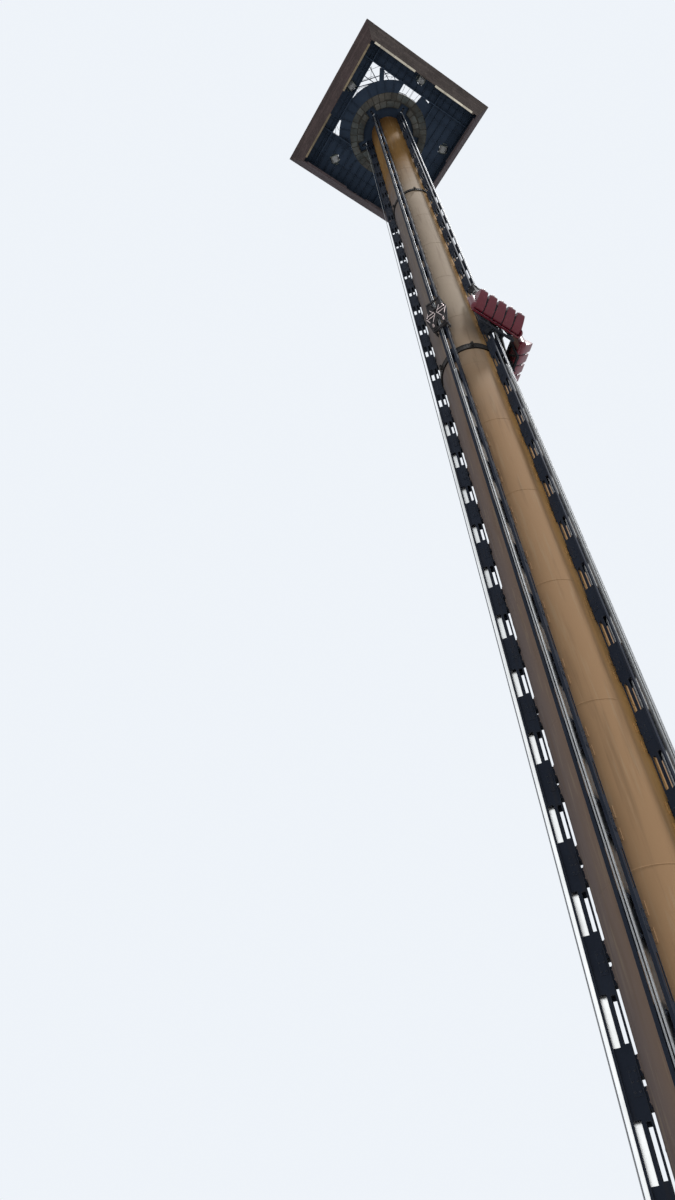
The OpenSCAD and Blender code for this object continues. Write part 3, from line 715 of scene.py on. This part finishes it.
def band_fittings():
    """Lips, bolt rows and clamp ears on the ring bands."""
    shape = Shape()
    bolt_step = 5.2
    for middle, half in BANDS:
        for edge in (-1, 1):
            z = middle + edge * (half - 0.002)
            lip = [(0.1615, z - 0.002), (0.1636, z - 0.0014), (0.1636, z + 0.0014), (0.1615, z + 0.002)]
            shape.turning(lip, moved(), 96)
        for k in TRACKS:
            for i in (-4, -3, -2, -1, 1, 2, 3, 4):
                for row in (-1, 1):
                    at = turned(between(k) + i * bolt_step) @ moved(0.1623, 0, middle + row * (half - 0.009))
                    shape.bolt(at @ OUTWARD, 0.0042)
            for ear in both_sides(turned(between(k)) @ moved(z=middle)):
                shape.block((0.161, 0.0015, 0.005 - half), (0.178, 0.005, half - 0.005), ear)
                for dz in (-0.5, 0.5):
                    shape.bolt(ear @ moved(0.171, 0.005, dz * half) @ SIDEWAYS, 0.005)
    shape.piece("band_fittings", BAND_PAINT, "tower", "bands")


# Crown
def stones():
    """Rough stones in two rows under the ring, the inner ones between the tracks, proud of the joints."""
    chance = random.Random(11)
    shape = Shape()
    cells = []
    row_in, row_middle, row_out, joint = 0.296, 0.303, 0.3635, 0.3
    edges = [i * 10 + chance.uniform(-2.6, 2.6) for i in range(36)]
    for a0, a1 in zip(edges, edges[1:] + [edges[0] + 360]):
        inner = row_middle + chance.uniform(-0.009, 0.006)
        cells.append((a0 + joint, a1 - joint, max(inner, row_in), row_out))
    row_in, row_out, joint = 0.2395, 0.2935, 0.35
    joints = ((22.5, 2), (35.5, 3), (48.5, 2))
    for k in range(5):
        cuts = [10.9, *(middle + chance.uniform(-play, play) for middle, play in joints), 61.1]
        for a0, a1 in zip(cuts, cuts[1:]):
            cells.append((k * TRACK_STEP + a0 + joint, k * TRACK_STEP + a1 - joint, row_in, row_out))
    steps = 6
    for a0, a1, r0, r1 in cells:
        proud = chance.uniform(0.0022, 0.0048)
        wobble = [chance.uniform(-1, 1) for _ in range(8)]
        points = []
        for j in range(steps + 1):
            for i in range(steps + 1):
                u, v = 2 * i / steps - 1, 2 * j / steps - 1
                rim = max(abs(u), abs(v)) ** 6
                wave = 0.0012 * wobble[0] * sin(5 * u + 3 * wobble[1]) * (1 - rim)
                r = r0 + (r1 - r0) * (v + 1) / 2 + wave
                a = radians(a0 + (a1 - a0) * (u + 1) / 2)
                lump = sin(3.1 * u + 4 * wobble[2]) * sin(2.7 * v + 4 * wobble[3])
                depth = (proud + 0.0013 * lump + chance.uniform(-0.0004, 0.0004)) * (1 - rim)
                points.append((r * cos(a), r * sin(a), DECK_UNDER + 0.0004 - depth))
        row = steps + 1
        faces = [(j * row + i, (j + 1) * row + i, (j + 1) * row + i + 1, j * row + i + 1)
                 for j in range(steps) for i in range(steps)]
        shape.form(points, faces, moved(), smooth=True)
    shape.piece("stones", STONE, "tower", "stone")


def fascia_boards(side, name, paint):
    """Boards along one side of the flared fascia, in rows from the lower to the upper edge."""
    chance = random.Random(100 + side)
    low, high, rise = 0.597, 0.6885, TOP - CROWN_LOW
    slope = hypot(high - low, rise)
    up = Vector(((high - low) / slope, 0, rise / slope))
    out = Vector((rise / slope, 0, (low - high) / slope))
    rows, gap, thick = 6, 0.0016, 0.0022
    at = turned(side)
    shape = Shape()
    for i in range(rows):
        s0 = slope * i / rows + gap / 2
        s1 = slope * (i + 1) / rows - gap / 2
        cuts = [-1.0]
        y = -0.7 + chance.uniform(0.1, 0.3)
        while y < 0.55:
            cuts.append(y)
            y += 0.14 * chance.choice((2, 2, 3))
        cuts.append(1.0)
        for a, b in zip(cuts, cuts[1:]):
            proud = thick + chance.uniform(-0.0005, 0.0005)
            loops = []
            for depth, inset in ((-0.0004, 0), (proud - 0.0006, 0), (proud, 0.0006)):
                loop = []
                for s, y in ((s0 + inset, a), (s0 + inset, b), (s1 - inset, b), (s1 - inset, a)):
                    p = Vector((low, 0, CROWN_LOW)) + up * s + out * depth
                    limit = p.x - 0.0006
                    if abs(y) == 1.0:
                        y = copysign(limit - inset, y)
                    else:
                        y += (gap / 2 + inset) * (1 if y == a else -1)
                    loop.append((p.x, y, p.z))
                loops.append(loop)
            shape.rings(loops, at)
    shape.piece(f"boards_{name}", paint, "tower", "fascia")


def span(hand, a, b):
    """A stretch along Y, or its mirror image, lower end first."""
    return sorted((hand * a, hand * b))


def ledge_boards(side, name, paint):
    """Boards under the ledges inside one side of the fascia."""
    chance = random.Random(200 + side)
    shape = Shape()
    ledge_in, ledge_out, start, end, gap, thick = 0.5776, 0.5955, 0.112, 0.553, 0.0015, 0.0024
    for hand in (-1, 1):
        y = start
        while y < end - 0.018:
            length = min(chance.uniform(0.09, 0.16), end - y)
            x = ledge_in + chance.uniform(0, 0.0016)
            y0, y1 = span(hand, y, y + length - gap)
            shape.block((x, y0, CROWN_LOW - thick), (ledge_out, y1, CROWN_LOW + ROOT), turned(side))
            y += length
    shape.piece(f"ledge_{name}", paint, "tower", "fascia")


def soffit_clear(x, y):
    """Whether a joist may run at that place under the deck."""
    west, east, south, north = OPENING
    if max(abs(x), abs(y)) > DECK_HALF or hypot(x, y) < GALLERY_R:
        return False
    rim = 0.011
    if west - rim < x < east + rim and south - rim < y < north + rim:
        return False
    for k in TRACKS:
        p = turned(-(k - 1) * TRACK_STEP) @ Vector((x, y, 0))
        if abs(p.x - HOIST_R) < 0.05 and -0.048 < p.y < 0.048:
            return False
    return True


def runs(line, along_y=False, step=0.004):
    """The stretches of a line across the deck, along X or along Y, where a joist may run."""
    found, start = [], None
    for i in range(int(1.3 / step) + 1):
        t = -0.65 + i * step
        clear = soffit_clear(line, t) if along_y else soffit_clear(t, line)
        if clear and start is None:
            start = t
        elif not clear and start is not None:
            found.append((start, t - step))
            start = None
    return [(a, b) for a, b in found if b - a > 0.03]


def joists():
    """Light joists and stringers under the deck plate, and ribs under the gallery."""
    shape = Shape()
    under = moved(z=DECK_UNDER)
    for line in (i * 0.0725 for i in range(-8, 9)):
        for a, b in runs(line):
            shape.block((a, line - 0.002, -0.014), (b, line + 0.002, ROOT), under)
    for line in (i * 0.165 + 0.02 for i in range(-3, 4)):
        for a, b in runs(line, along_y=True):
            shape.block((line - 0.0015, a, -0.019), (line + 0.0015, b, -0.01), under)
    for i in range(13):
        angle = -159 + i * 11
        if all(abs((angle - (k - 1) * TRACK_STEP + 180) % 360 - 180) > 6 for k in TRACKS):
            shape.block((0.373, -0.0015, -0.009), (0.464, 0.0015, ROOT), under @ turned(angle))
    shape.piece("joists", SOFFIT, "tower", "crown_steel")


def opening_bracing():
    """Tubes across the deck's opening, and a low guard frame round it."""
    west, east, south, north = OPENING
    shape = Shape()
    under = moved(z=DECK_UNDER)
    tubes = [((0.17, south), (0.29, -0.372)), ((0.205, -0.425), (0.315, -0.35)),
             ((0.255, south), (0.35, -0.392)), ((0.13, -0.455), (0.235, -0.41)),
             ((0.3, -0.4), (0.4, -0.455)), ((0.345, south), (east, -0.395)),
             ((0.385, -0.3), (east, -0.285)), ((0.408, -0.25), (east, -0.238)),
             ((0.372, 0.04), (east, 0.052)), ((0.372, -0.056), (east, -0.05)),
             ((0.378, -0.095), (east, -0.104)), ((-0.25, -0.44), (-0.195, south)),
             ((-0.212, -0.425), (-0.19, -0.462))]
    for (x0, y0), (x1, y1) in tubes:
        shape.tube([(x0, y0, -0.002), (x1, y1, -0.002)], 0.0016, under, 8)
    for (x0, y0), (x1, y1) in (((0.105, -0.44), (0.19, -0.462)), ((0.395, -0.3), (0.425, -0.245))):
        for i in range(7):
            a = Vector((x0, y0, 0)).lerp(Vector((x1, y1, 0)), i / 6)
            shape.tube([a, a + Vector((0.012, 0.01, 0))], 0.0011, under, 6)
    rail_high, off = TOP - 0.004, 0.006
    sides = [((west - off, north), (west - off, south)), ((west, south - off), (east, south - off)),
             ((east + off, south), (east + off, north))]
    for (x0, y0), (x1, y1) in sides:
        steps = round(hypot(x1 - x0, y1 - y0) / 0.075)
        posts = [Vector((x0, y0)).lerp(Vector((x1, y1)), i / steps) for i in range(1, steps)]
        for x, y in posts:
            shape.tube([(x, y, DECK_TOP - 0.001), (x, y, rail_high)], 0.0016, moved(), 6)
        for z in (DECK_TOP + 0.025, rail_high):
            shape.tube([(*posts[0], z), (*posts[-1], z)], 0.0018, moved(), 8)
    shape.piece("opening_bracing", SOFFIT, "tower", "crown_steel")


def deck_seams():
    """Riveted straps over the joints of the deck plates, a hatch, and the ribs and cap of the drum floor."""
    shape = Shape()
    rivet = [(0.002, 0), (0.0017, 0.0009), (0.0007, 0.0013)]
    for along_y in (False, True):
        lift = DECK_TOP + (0.0003 if along_y else 0)
        for line in (-0.52, -0.3, 0.045, 0.29, 0.5):
            for a, b in runs(line, along_y):
                low, high = (a, line - 0.005), (b, line + 0.005)
                places = [(a + 0.012 + i * 0.024, line) for i in range(int((b - a) / 0.024))]
                if along_y:
                    low, high, *places = (p[::-1] for p in (low, high, *places))
                shape.block((*low, DECK_TOP - 0.0004), (*high, lift + 0.0012), moved())
                for p in places:
                    shape.turning(rivet, moved(*p, lift + 0.001), 8)
    hatch = moved(0.565, 0.565, DECK_TOP)
    shape.block((-0.036, -0.036, -0.0004), (0.036, 0.036, 0.005), hatch, 0.001)
    shape.block((-0.033, -0.033, 0.0045), (0.033, 0.033, 0.0085), hatch, 0.001)
    for hinge in (hatch @ moved(-0.039, y, 0.007) for y in (-0.022, 0.022)):
        shape.tube([(0, -0.007, 0), (0, 0.007, 0)], 0.0022, hinge)
        shape.block((0, -0.005, 0.001), (0.017, 0.005, 0.0028), hinge)
    handle = [(0.024, y, z) for y, z in ((-0.01, 0.008), (-0.01, 0.014), (0.01, 0.014), (0.01, 0.008))]
    shape.tube(handle, 0.0012, hatch, 8)
    floor = moved(z=FLOOR_TOP)
    for i in range(10):
        at = floor @ turned(i * 36 + 36)
        reach = 0.345 if i % 2 == 0 else 0.19
        shape.block((0.048, -0.0016, -ROOT), (reach, 0.0016, 0.008), at)
        shape.block((0.048, -0.005, 0.0075), (reach, 0.005, 0.0095), at)
    cap = [(0.052, -ROOT), (0.052, 0.011), (0.049, 0.0125), (0.01, 0.0135), (0.009, 0.019), (0.006, 0.02)]
    shape.turning(cap, floor, 40, smooth=False)
    for i in range(12):
        shape.bolt(floor @ turned(i * 30) @ moved(0.043, 0, 0.0125), 0.005)
    shape.piece("deck_seams", DECK_GREY, "tower", "crown_steel")


def drum_rim():
    """Top angle and stiffeners of the drum house wall, clear of the rope slots."""
    shape = Shape()
    for k in TRACKS:
        for i in range(-2, 3):
            angle = between(k) + i * 12
            shape.block((0.3645, -0.002, FLOOR_TOP - 0.005), (0.37, 0.002, TOP - 0.001), turned(angle))
            for drop in (0.012, 0.026):
                shape.bolt(turned(angle + 6) @ moved(DRUM_WALL_R, 0, TOP - drop) @ OUTWARD, 0.0045)
        start, end = (k - 1) * TRACK_STEP + 5, k * TRACK_STEP - 5
        path = [(0.3665 * cos(a), 0.3665 * sin(a), TOP - 0.003)
                for a in (radians(start + (end - start) * i / 20) for i in range(21))]
        shape.tube(path, 0.0024, moved(), 6)
    shape.piece("drum_rim", SOFFIT, "tower", "crown_steel")


def hoist_windings():
    """Rope wound on the hoist drums, turn beside turn."""
    shape = Shape()
    turns, half = 17, 0.028
    pitch = 2 * half / turns
    turn = [(0.0346, 0), (0.0366, 0.15), (0.0375, 0.5), (0.0366, 0.85)]
    profile = [(r, (i + share) * pitch - half) for i in range(turns) for r, share in turn]
    profile.append((0.0346, half))
    for k in TRACKS:
        shape.turning(profile, on_track(k) @ moved(HOIST_R, 0, HOIST_Z) @ SIDEWAYS, 30)
    shape.piece("hoist_windings", ROPE_STEEL, "tower", "rope")


def hoist_guards():
    """Sheet guards beside each drum, with an eave over its shoulder, open over the drum and for the ropes."""
    shape = Shape()
    eave, eave_top = TOP - 0.004, TOP - 0.0025
    for k in TRACKS:
        hub = on_track(k) @ moved(HOIST_R, 0, 0)
        for side in (-1, 1):
            face = hub @ Matrix.Diagonal((side, 1, 1, 1))
            wall_top = TOP - (0.0125 if side < 0 else 0.0035)
            shape.block((0.0455, -0.035, DECK_TOP - ROOT), (0.047, 0.035, wall_top), face)
            if side > 0:
                shape.block((0.019, -0.035, eave), (0.047, 0.035, eave_top), face)
            else:
                for hand in (-1, 1):
                    y0, y1 = span(hand, 0.0085, 0.035)
                    shape.block((0.019, y0, eave), (0.047, y1, eave_top), face)
                    shape.block((0.0455, y0, wall_top - 0.001), (0.047, y1, eave_top), face)
        for hand in (-1, 1):
            y0, y1 = span(hand, 0.0325, 0.0362)
            shape.block((-0.045, y0, DECK_UNDER), (0.045, y1, DECK_UNDER + 0.0015), hub)
            y0, y1 = span(hand, 0.035, 0.0366)
            shape.block((-0.046, y0, DECK_TOP - ROOT), (-0.037, y1, TOP - 0.014), hub)
            shape.block((0.037, y0, DECK_TOP - ROOT), (0.046, y1, eave), hub)
    shape.piece("hoist_guards", SOFFIT, "tower", "hoist")


def hoist_fittings():
    """Bolts, cooling fins, brake disc and terminal box of each hoist."""
    shape = Shape()
    plate_top = 0.014
    disc = [(0.006, 0), (0.026, 0), (0.027, 0.0008), (0.027, 0.0022), (0.026, 0.003), (0.006, 0.003)]
    for k in TRACKS:
        hub = on_track(k) @ moved(HOIST_R, 0, HOIST_Z)
        for face in both_sides(hub):
            for i in range(8):
                a = radians(i * 45 + 22)
                x, z = 0.025 * cos(a), 0.025 * sin(a) + 0.004
                if z < plate_top:
                    shape.bolt(face @ moved(x, 0.043, z) @ SIDEWAYS, 0.005)
        shape.turning(disc, hub @ moved(y=-0.052) @ SIDEWAYS, 32)
        shape.block((0.016, -0.056, -0.0065), (0.034, -0.044, 0.011), hub)
        motor = hub @ moved(0, 0.06, 0.004) @ SIDEWAYS
        for z in (i * 0.003 for i in range(9)):
            fin = [(0.0115, z), (0.0142, z), (0.0142, z + 0.0011), (0.0115, z + 0.0011)]
            shape.turning(fin, motor, 20, smooth=False)
        shape.block((-0.009, 0.064, 0.015), (0.009, 0.082, 0.025), hub, 0.001)
        shape.block((-0.0155, 0.046, -0.008), (0.0155, 0.05, 0.022), hub, 0.001)
    shape.piece("hoist_fittings", HOIST_STEEL, "tower", "hoist")


# Cars and gondolas
def frame_of(k, node):
    """A CAD node's frame on its track, from the node's lowest point, and its height."""
    low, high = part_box(node)
    return on_track(k, low.z), high.z - low.z


def hub_caps(shape, at, heights):
    """Bolted caps on the outer ends of the wheel axles, on both cheeks."""
    cap = [(0.0062, 0), (0.0062, 0.0015), (0.005, 0.0026), (0.003, 0.0028), (0.003, 0.0044),
           (0.0022, 0.0048)]
    for face in both_sides(at):
        for z in heights:
            for x in WHEEL_X:
                hub = face @ moved(x, CHEEK_OUT - SINK, z) @ SIDEWAYS
                shape.turning(cap, hub, 16)
                for i in range(4):
                    shape.bolt(hub @ turned(i * 90 + 45) @ moved(0.0047, 0, 0.0015), 0.0018)


def cheek_edges(shape, at, height):
    """Flanges and bolts along the cheeks."""
    for face in both_sides(at):
        shape.block((0.24, CHEEK_OUT - SINK, 0.052), (0.2436, CHEEK_OUT + 0.004, height - 0.052), face)
        steps = int((height - 0.11) / 0.024)
        for i in range(steps):
            z = 0.06 + (height - 0.12) * i / (steps - 1)
            shape.bolt(face @ moved(0.2375, CHEEK_OUT - 0.0002, z) @ SIDEWAYS, 0.003)
        for z in (0.012, height - 0.012):
            low, high = (0.206, CHEEK_OUT - SINK, z - 0.005), (0.236, CHEEK_OUT + 0.0022, z + 0.005)
            shape.block(low, high, face)


def lift_car_gear(k):
    """Caps, flanges, struts, rollers, springs and rope sockets of a lift car."""
    node = f"lift_car_{k}"
    at, height = frame_of(k, node)
    dark, pale = Shape(), Shape()
    hub_caps(dark, at, (0.024, height - 0.024))
    cheek_edges(dark, at, height)
    roller = [(0.002, 0), (0.0066, 0.0004), (0.0074, 0.0014), (0.0074, 0.005), (0.0066, 0.006),
              (0.002, 0.0064)]
    socket = [(0.003, 0), (0.0034, 0.0015), (0.0034, 0.01), (0.0021, 0.026), (0.0018, 0.027)]
    coil = [(0.2455 + 0.0042 * cos(t), 0.033 + 0.0042 * sin(t), 0.03 + 0.0011 * t)
            for t in (i * pi / 6 for i in range(85))]
    for side, face in zip((-1, 1), both_sides(at)):
        for z in (0.11, 0.26):
            pale.tube([(0.2415, 0.043, z), (0.2415, 0.0625, 0.187)], 0.0021, face)
            pale.tube([(0.2415, 0.03, z), (0.2415, 0.006, 0.19)], 0.0019, face)
        for z in (0.17, 0.207):
            pale.tube([(0.244, 0.01, z), (0.244, 0.056, z)], 0.0024, face)
        axle = face @ moved(0.2405, 0.0565, 0.189) @ OUTWARD
        dark.turning(roller, axle, 18)
        pale.turning([(0.003, 0), (0.003, 0.008), (0.0018, 0.0086)], axle, 12)
        pale.tube(coil, 0.0009, face, 6)
        for z in (0.0265, 0.0785):
            dark.turning([(0.0056, 0), (0.0056, 0.003)], face @ moved(0.2455, 0.033, z), 14)
        dark.block((0.2385, 0.027, 0.0255), (0.242, 0.039, 0.0825), face)
        pale.turning(socket, at @ moved(ROPE_R, side * ROPE_SIDE, height * 0.6), 12)
        for z in (height - 0.026, 0.012):
            dark.block((0.2395, 0.015, z), (0.245, 0.044, z + 0.008), face)
        for z in (0.016, height - 0.022):
            for y in (0.02, 0.03, 0.04):
                dark.bolt(face @ moved(0.245, y, z) @ OUTWARD, 0.003)
    dark.block((0.2395, -0.011, 0.228), (0.248, 0.011, 0.252), at, 0.001)
    dark.piece(f"lift_car_gear_{k}", CAR_STEEL, node, "carriage")
    pale.piece(f"lift_car_struts_{k}", PALE_STEEL, node, "carriage")


def carriage_gear(k):
    """Caps, flanges, brake magnets, bolts and hoses of a gondola's carriage."""
    node, body = f"carriage_{k}", f"gondola_{k}"
    at, height = frame_of(k, node)
    dark, magnets, hoses = Shape(), Shape(), Shape()
    hub_caps(dark, at, (0.02, height - 0.02))
    cheek_edges(dark, at, height)
    hose = [(0.2385, 0.0475, 0.05), (0.2425, 0.052, 0.08), (0.243, 0.056, 0.12),
            (0.2415, 0.064, 0.16), (0.24, 0.08, 0.195), (0.239, 0.09, 0.213)]
    for face in both_sides(at):
        for y in (0.056, 0.07, 0.084, 0.098, 0.11):
            for z in (0.03, 0.042):
                dark.bolt(face @ moved(BAR_FACE - SINK, y, z) @ OUTWARD, 0.003)
        for i in range(6):
            z = 0.034 + i * 0.032
            magnets.block((0.216, 0.0086, z), (0.233, 0.0138, z + 0.03), face, 0.0006)
        magnets.block((0.229, 0.01, 0.03), (0.2345, 0.017, 0.23), face)
        hoses.tube(hose, 0.0014, face, 8)
    dark.piece(f"carriage_gear_{k}", DARK, body, "carriage")
    magnets.piece(f"brake_magnets_{k}", MAGNETS, body, "carriage")
    hoses.piece(f"carriage_hoses_{k}", RUBBER, body, "carriage")


# Outlines of a seat seen from its side, in millimetres: distance from the shell, height above the row's foot
SEAT_UNDER = [(1, 171), (0.5, 140), (0.5, 90), (1, 40), (4, 18), (14, 12.5), (26, 17), (44, 31), (62, 50),
              (78, 68), (90, 82), (94.5, 91)]
SEAT_PAN = [(92, 98), (86, 100), (78, 96.5), (66, 87), (54, 79), (42, 73), (31, 70.5), (23, 73), (18, 82),
            (14.5, 100), (12.5, 135), (9.5, 165)]
SEAT_ARMS = [(90, 99), (84, 103), (77, 107), (66, 109), (54, 108.5), (44, 108), (36, 112), (30, 119),
             (27, 130), (25.5, 145), (22, 162), (14, 171)]
# Half of a seat from its middle: place across, share of the arm's outline, share of the full size
HALF_SEAT = [(0, 0, 1), (8, 0, 1), (15, 0.08, 1), (18, 0.35, 1), (20, 0.86, 1), (22, 1, 1), (25, 1, 1),
             (27.2, 1, 0.985), (28, 1, 0.93)]
SEAT_SLICES = [(-y, arm, size) for y, arm, size in reversed(HALF_SEAT)] + HALF_SEAT[1:]
# The post between a rider's legs, in millimetres: distance from the shell, height, half width.
# Its depth is a share of its width.
SEAT_POST = [(84, 88, 3.2), (88, 91, 4.6), (91.5, 100, 5.0), (92.5, 110, 4.6), (91.5, 116, 3.6),
             (90.5, 118, 1.5)]
POST_DEPTH = 0.64
# Side view of the plate between two seats
SEAT_PLATE = [(-0.3, 14), (20, 20), (50, 42), (72, 66), (68, 74), (40, 60), (16, 58), (10, 120), (-0.3, 160)]
MM = 0.001


def seat_frame(k, i):
    """The frame of a seat: the shell's face, the seat's middle, the row's foot."""
    return frame_of(k, f"carriage_{k}")[0] @ moved(SEAT_X, i * SEAT_PITCH, SEAT_BASE)


def seat_shell(shape, at):
    """A moulded seat with arms, drawn in at its front and its top, and the post between the rider's legs."""
    loops = []
    for y, arm, size in SEAT_SLICES:
        upper = [(a + (c - a) * arm, b + (d - b) * arm) for (a, b), (c, d) in zip(SEAT_PAN, SEAT_ARMS)]
        loop = []
        for x, z in SEAT_UNDER + upper:
            narrower = 1 - 0.2 * max(0, (x - 30) / 65) ** 1.5 - 0.1 * max(0, (z - 120) / 52) ** 2
            loop.append(Vector((x, y * narrower, z)))
        middle = sum(loop, Vector()) / len(loop)
        loops.append([(middle + (p - middle) * size) * MM for p in reversed(loop)])
    shape.rings(loops, at, smooth=True)
    corners = [2 * pi * j / 14 for j in range(14)]
    shape.rings([[(MM * (x + POST_DEPTH * r * cos(t)), MM * r * sin(t), MM * z) for t in corners]
                 for x, z, r in SEAT_POST], at, smooth=True)


def cushion(shape, at, length, width, thick, channels=()):
    """A crowned pad with rounded sides, pinched along its sewn channels."""
    rows, columns = 20, 26
    loops = []
    for i in range(1, rows):
        t = pi * i / rows
        z = -copysign(abs(cos(t)) ** 0.5, cos(t))
        r = sin(t) ** 0.5
        pinch = 1 - 0.3 * sum(exp(-((z - c) / 0.07) ** 2) for c in channels)
        loop = []
        for j in range(columns):
            a = 2 * pi * j / columns
            x = copysign(abs(cos(a)) ** 0.75, cos(a)) * r * pinch
            y = copysign(abs(sin(a)) ** 0.45, sin(a)) * r
            loop.append((x * thick / 2, y * width / 2, z * length / 2))
        loops.append(loop)
    shape.rings(loops, at, smooth=True)


def restraint_path(y):
    """A shoulder tube: from the top of the back, over the shoulder and down to the lap bar."""
    x0, z0, bend = 31, 148, 24
    path = [(x0 + bend * cos(a), y, z0 + bend * sin(a))
            for a in (radians(140 - i * 160 / 14) for i in range(15))]
    tilt = radians(20)
    end_x, end_z = x0 + bend * cos(tilt), z0 - bend * sin(tilt)
    path += [(end_x - s * sin(tilt), y, end_z - s * cos(tilt)) for s in (9, 18, 27, 36)]
    return [Vector(p) * MM for p in path]


def seats(k):
    """A gondola's row of seats, with cushions, restraints and straps."""
    body = f"gondola_{k}"
    shells, pads, tubes, sleeves, straps, frames = (Shape() for _ in range(6))
    for i in SEATS:
        at = seat_frame(k, i)
        seat_shell(shells, at)
        cushion(pads, at @ moved(0.053, 0, 0.0815) @ turned(61, "Y"), 0.052, 0.031, 0.009, (-0.3, 0.3))
        cushion(pads, at @ moved(0.0165, 0, 0.116) @ turned(-2, "Y"), 0.048, 0.03, 0.009, (-0.3, 0.3))
        cushion(pads, at @ moved(0.0155, 0, 0.153) @ turned(-6, "Y"), 0.022, 0.028, 0.008)
        for y in (-13, 13):
            path = restraint_path(y)
            tubes.tube(path, 0.0025, at)
            sleeves.tube(path[4:17], 0.0046, at, 14)
            grip = [path[17] + Vector(p) for p in ((0, 0, 0), (0.008, 0, 0.001), (0.011, 0, 0.006),
                                                   (0.011, 0, 0.015))]
            tubes.tube(grip, 0.0015, at, 8)
            pivot = at @ moved(0.0125, copysign(0.0105, y), 0.1635) @ turned(90 if y < 0 else -90, "X")
            tubes.turning([(0.0042, 0), (0.0042, 0.004), (0.003, 0.0048)], pivot, 12)
        low = path[18]
        bar = [Vector((low.x, y * MM, low.z)) for y in (-16, -12, 12, 16)]
        tubes.tube(bar, 0.003, at, 12)
        cushion(sleeves, at @ moved(low.x - 0.003, 0, low.z) @ turned(90, "X"), 0.022, 0.011, 0.009)
        lay = [(low.x + 0.001, low.z + 0.003), (low.x + 0.012, low.z + 0.004), (0.068, 0.114),
               (0.082, 0.112), (0.0885, 0.108)]
        straps.rings([[(x, -0.003, z), (x, 0.003, z), (x + 0.0007, 0.003, z + 0.0007),
                       (x + 0.0007, -0.003, z + 0.0007)] for x, z in lay], at)
        if i < 2:
            plate = [[(x * MM, y, z * MM) for x, z in SEAT_PLATE] for y in (0.0022, -0.0022)]
            frames.rings(plate, at @ moved(y=SEAT_PITCH / 2))
    covers = shells.piece(f"seat_shells_{k}", RED_SHELL, body, "seat")
    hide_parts(f"seats_{k}")
    pads.piece(f"seat_pads_{k}", VINYL, body, "seat")
    sleeves.piece(f"restraint_sleeves_{k}", VINYL, body, "seat")
    tubes.piece(f"restraint_tubes_{k}", RESTRAINT_STEEL, body, "carriage")
    straps.piece(f"seat_straps_{k}", WEBBING, body, "seat")
    frames.piece(f"seat_frames_{k}", DARK, body, "carriage")


def shell_trim(k):
    """Rivets and edge strip of a gondola's shell."""
    at, _ = frame_of(k, f"carriage_{k}")
    strip, rivets = Shape(), Shape()
    strip.block((SEAT_X - 0.0052, -0.1545, 0.2585), (SEAT_X + 0.0002, 0.1545, 0.2612), at)
    for i in range(31):
        y = -0.15 + i * 0.01
        rivets.turning(RIVET, at @ moved(SEAT_X + 0.0069, y, 0.092) @ OUTWARD, 8)
    for side in (-1, 1):
        for i in range(9):
            spot = at @ moved(SEAT_X - SINK, side * 0.1515, 0.12 + i * 0.015)
            rivets.turning(RIVET, spot @ OUTWARD, 8)
    strip.piece(f"shell_edge_{k}", RUBBER, f"gondola_{k}", "carriage")
    rivets.piece(f"shell_rivets_{k}", GALVANISED, f"gondola_{k}", "carriage")


make_camera()
make_world()
make_sun("key", azimuth=22, elevation=68, strength=3.8, softness=5)
make_sun("fill", azimuth=-60, elevation=22, strength=0.25, softness=45)
make_floor()
finish_nodes()

anchor_bolts()
rope_sockets()
fin_clamps()
mast_seams()
band_fittings()
stones()
joists()
opening_bracing()
deck_seams()
drum_rim()
hoist_windings()
hoist_guards()
hoist_fittings()
for side, name in ((0, "east"), (90, "north"), (180, "west"), (270, "south")):
    fascia_boards(side, name, BOARDS[name])
    ledge_boards(side, name, LEDGES[name])
for k in TRACKS:
    track_joints(k)
    lift_car_gear(k)
    carriage_gear(k)
    shell_trim(k)
    seats(k)
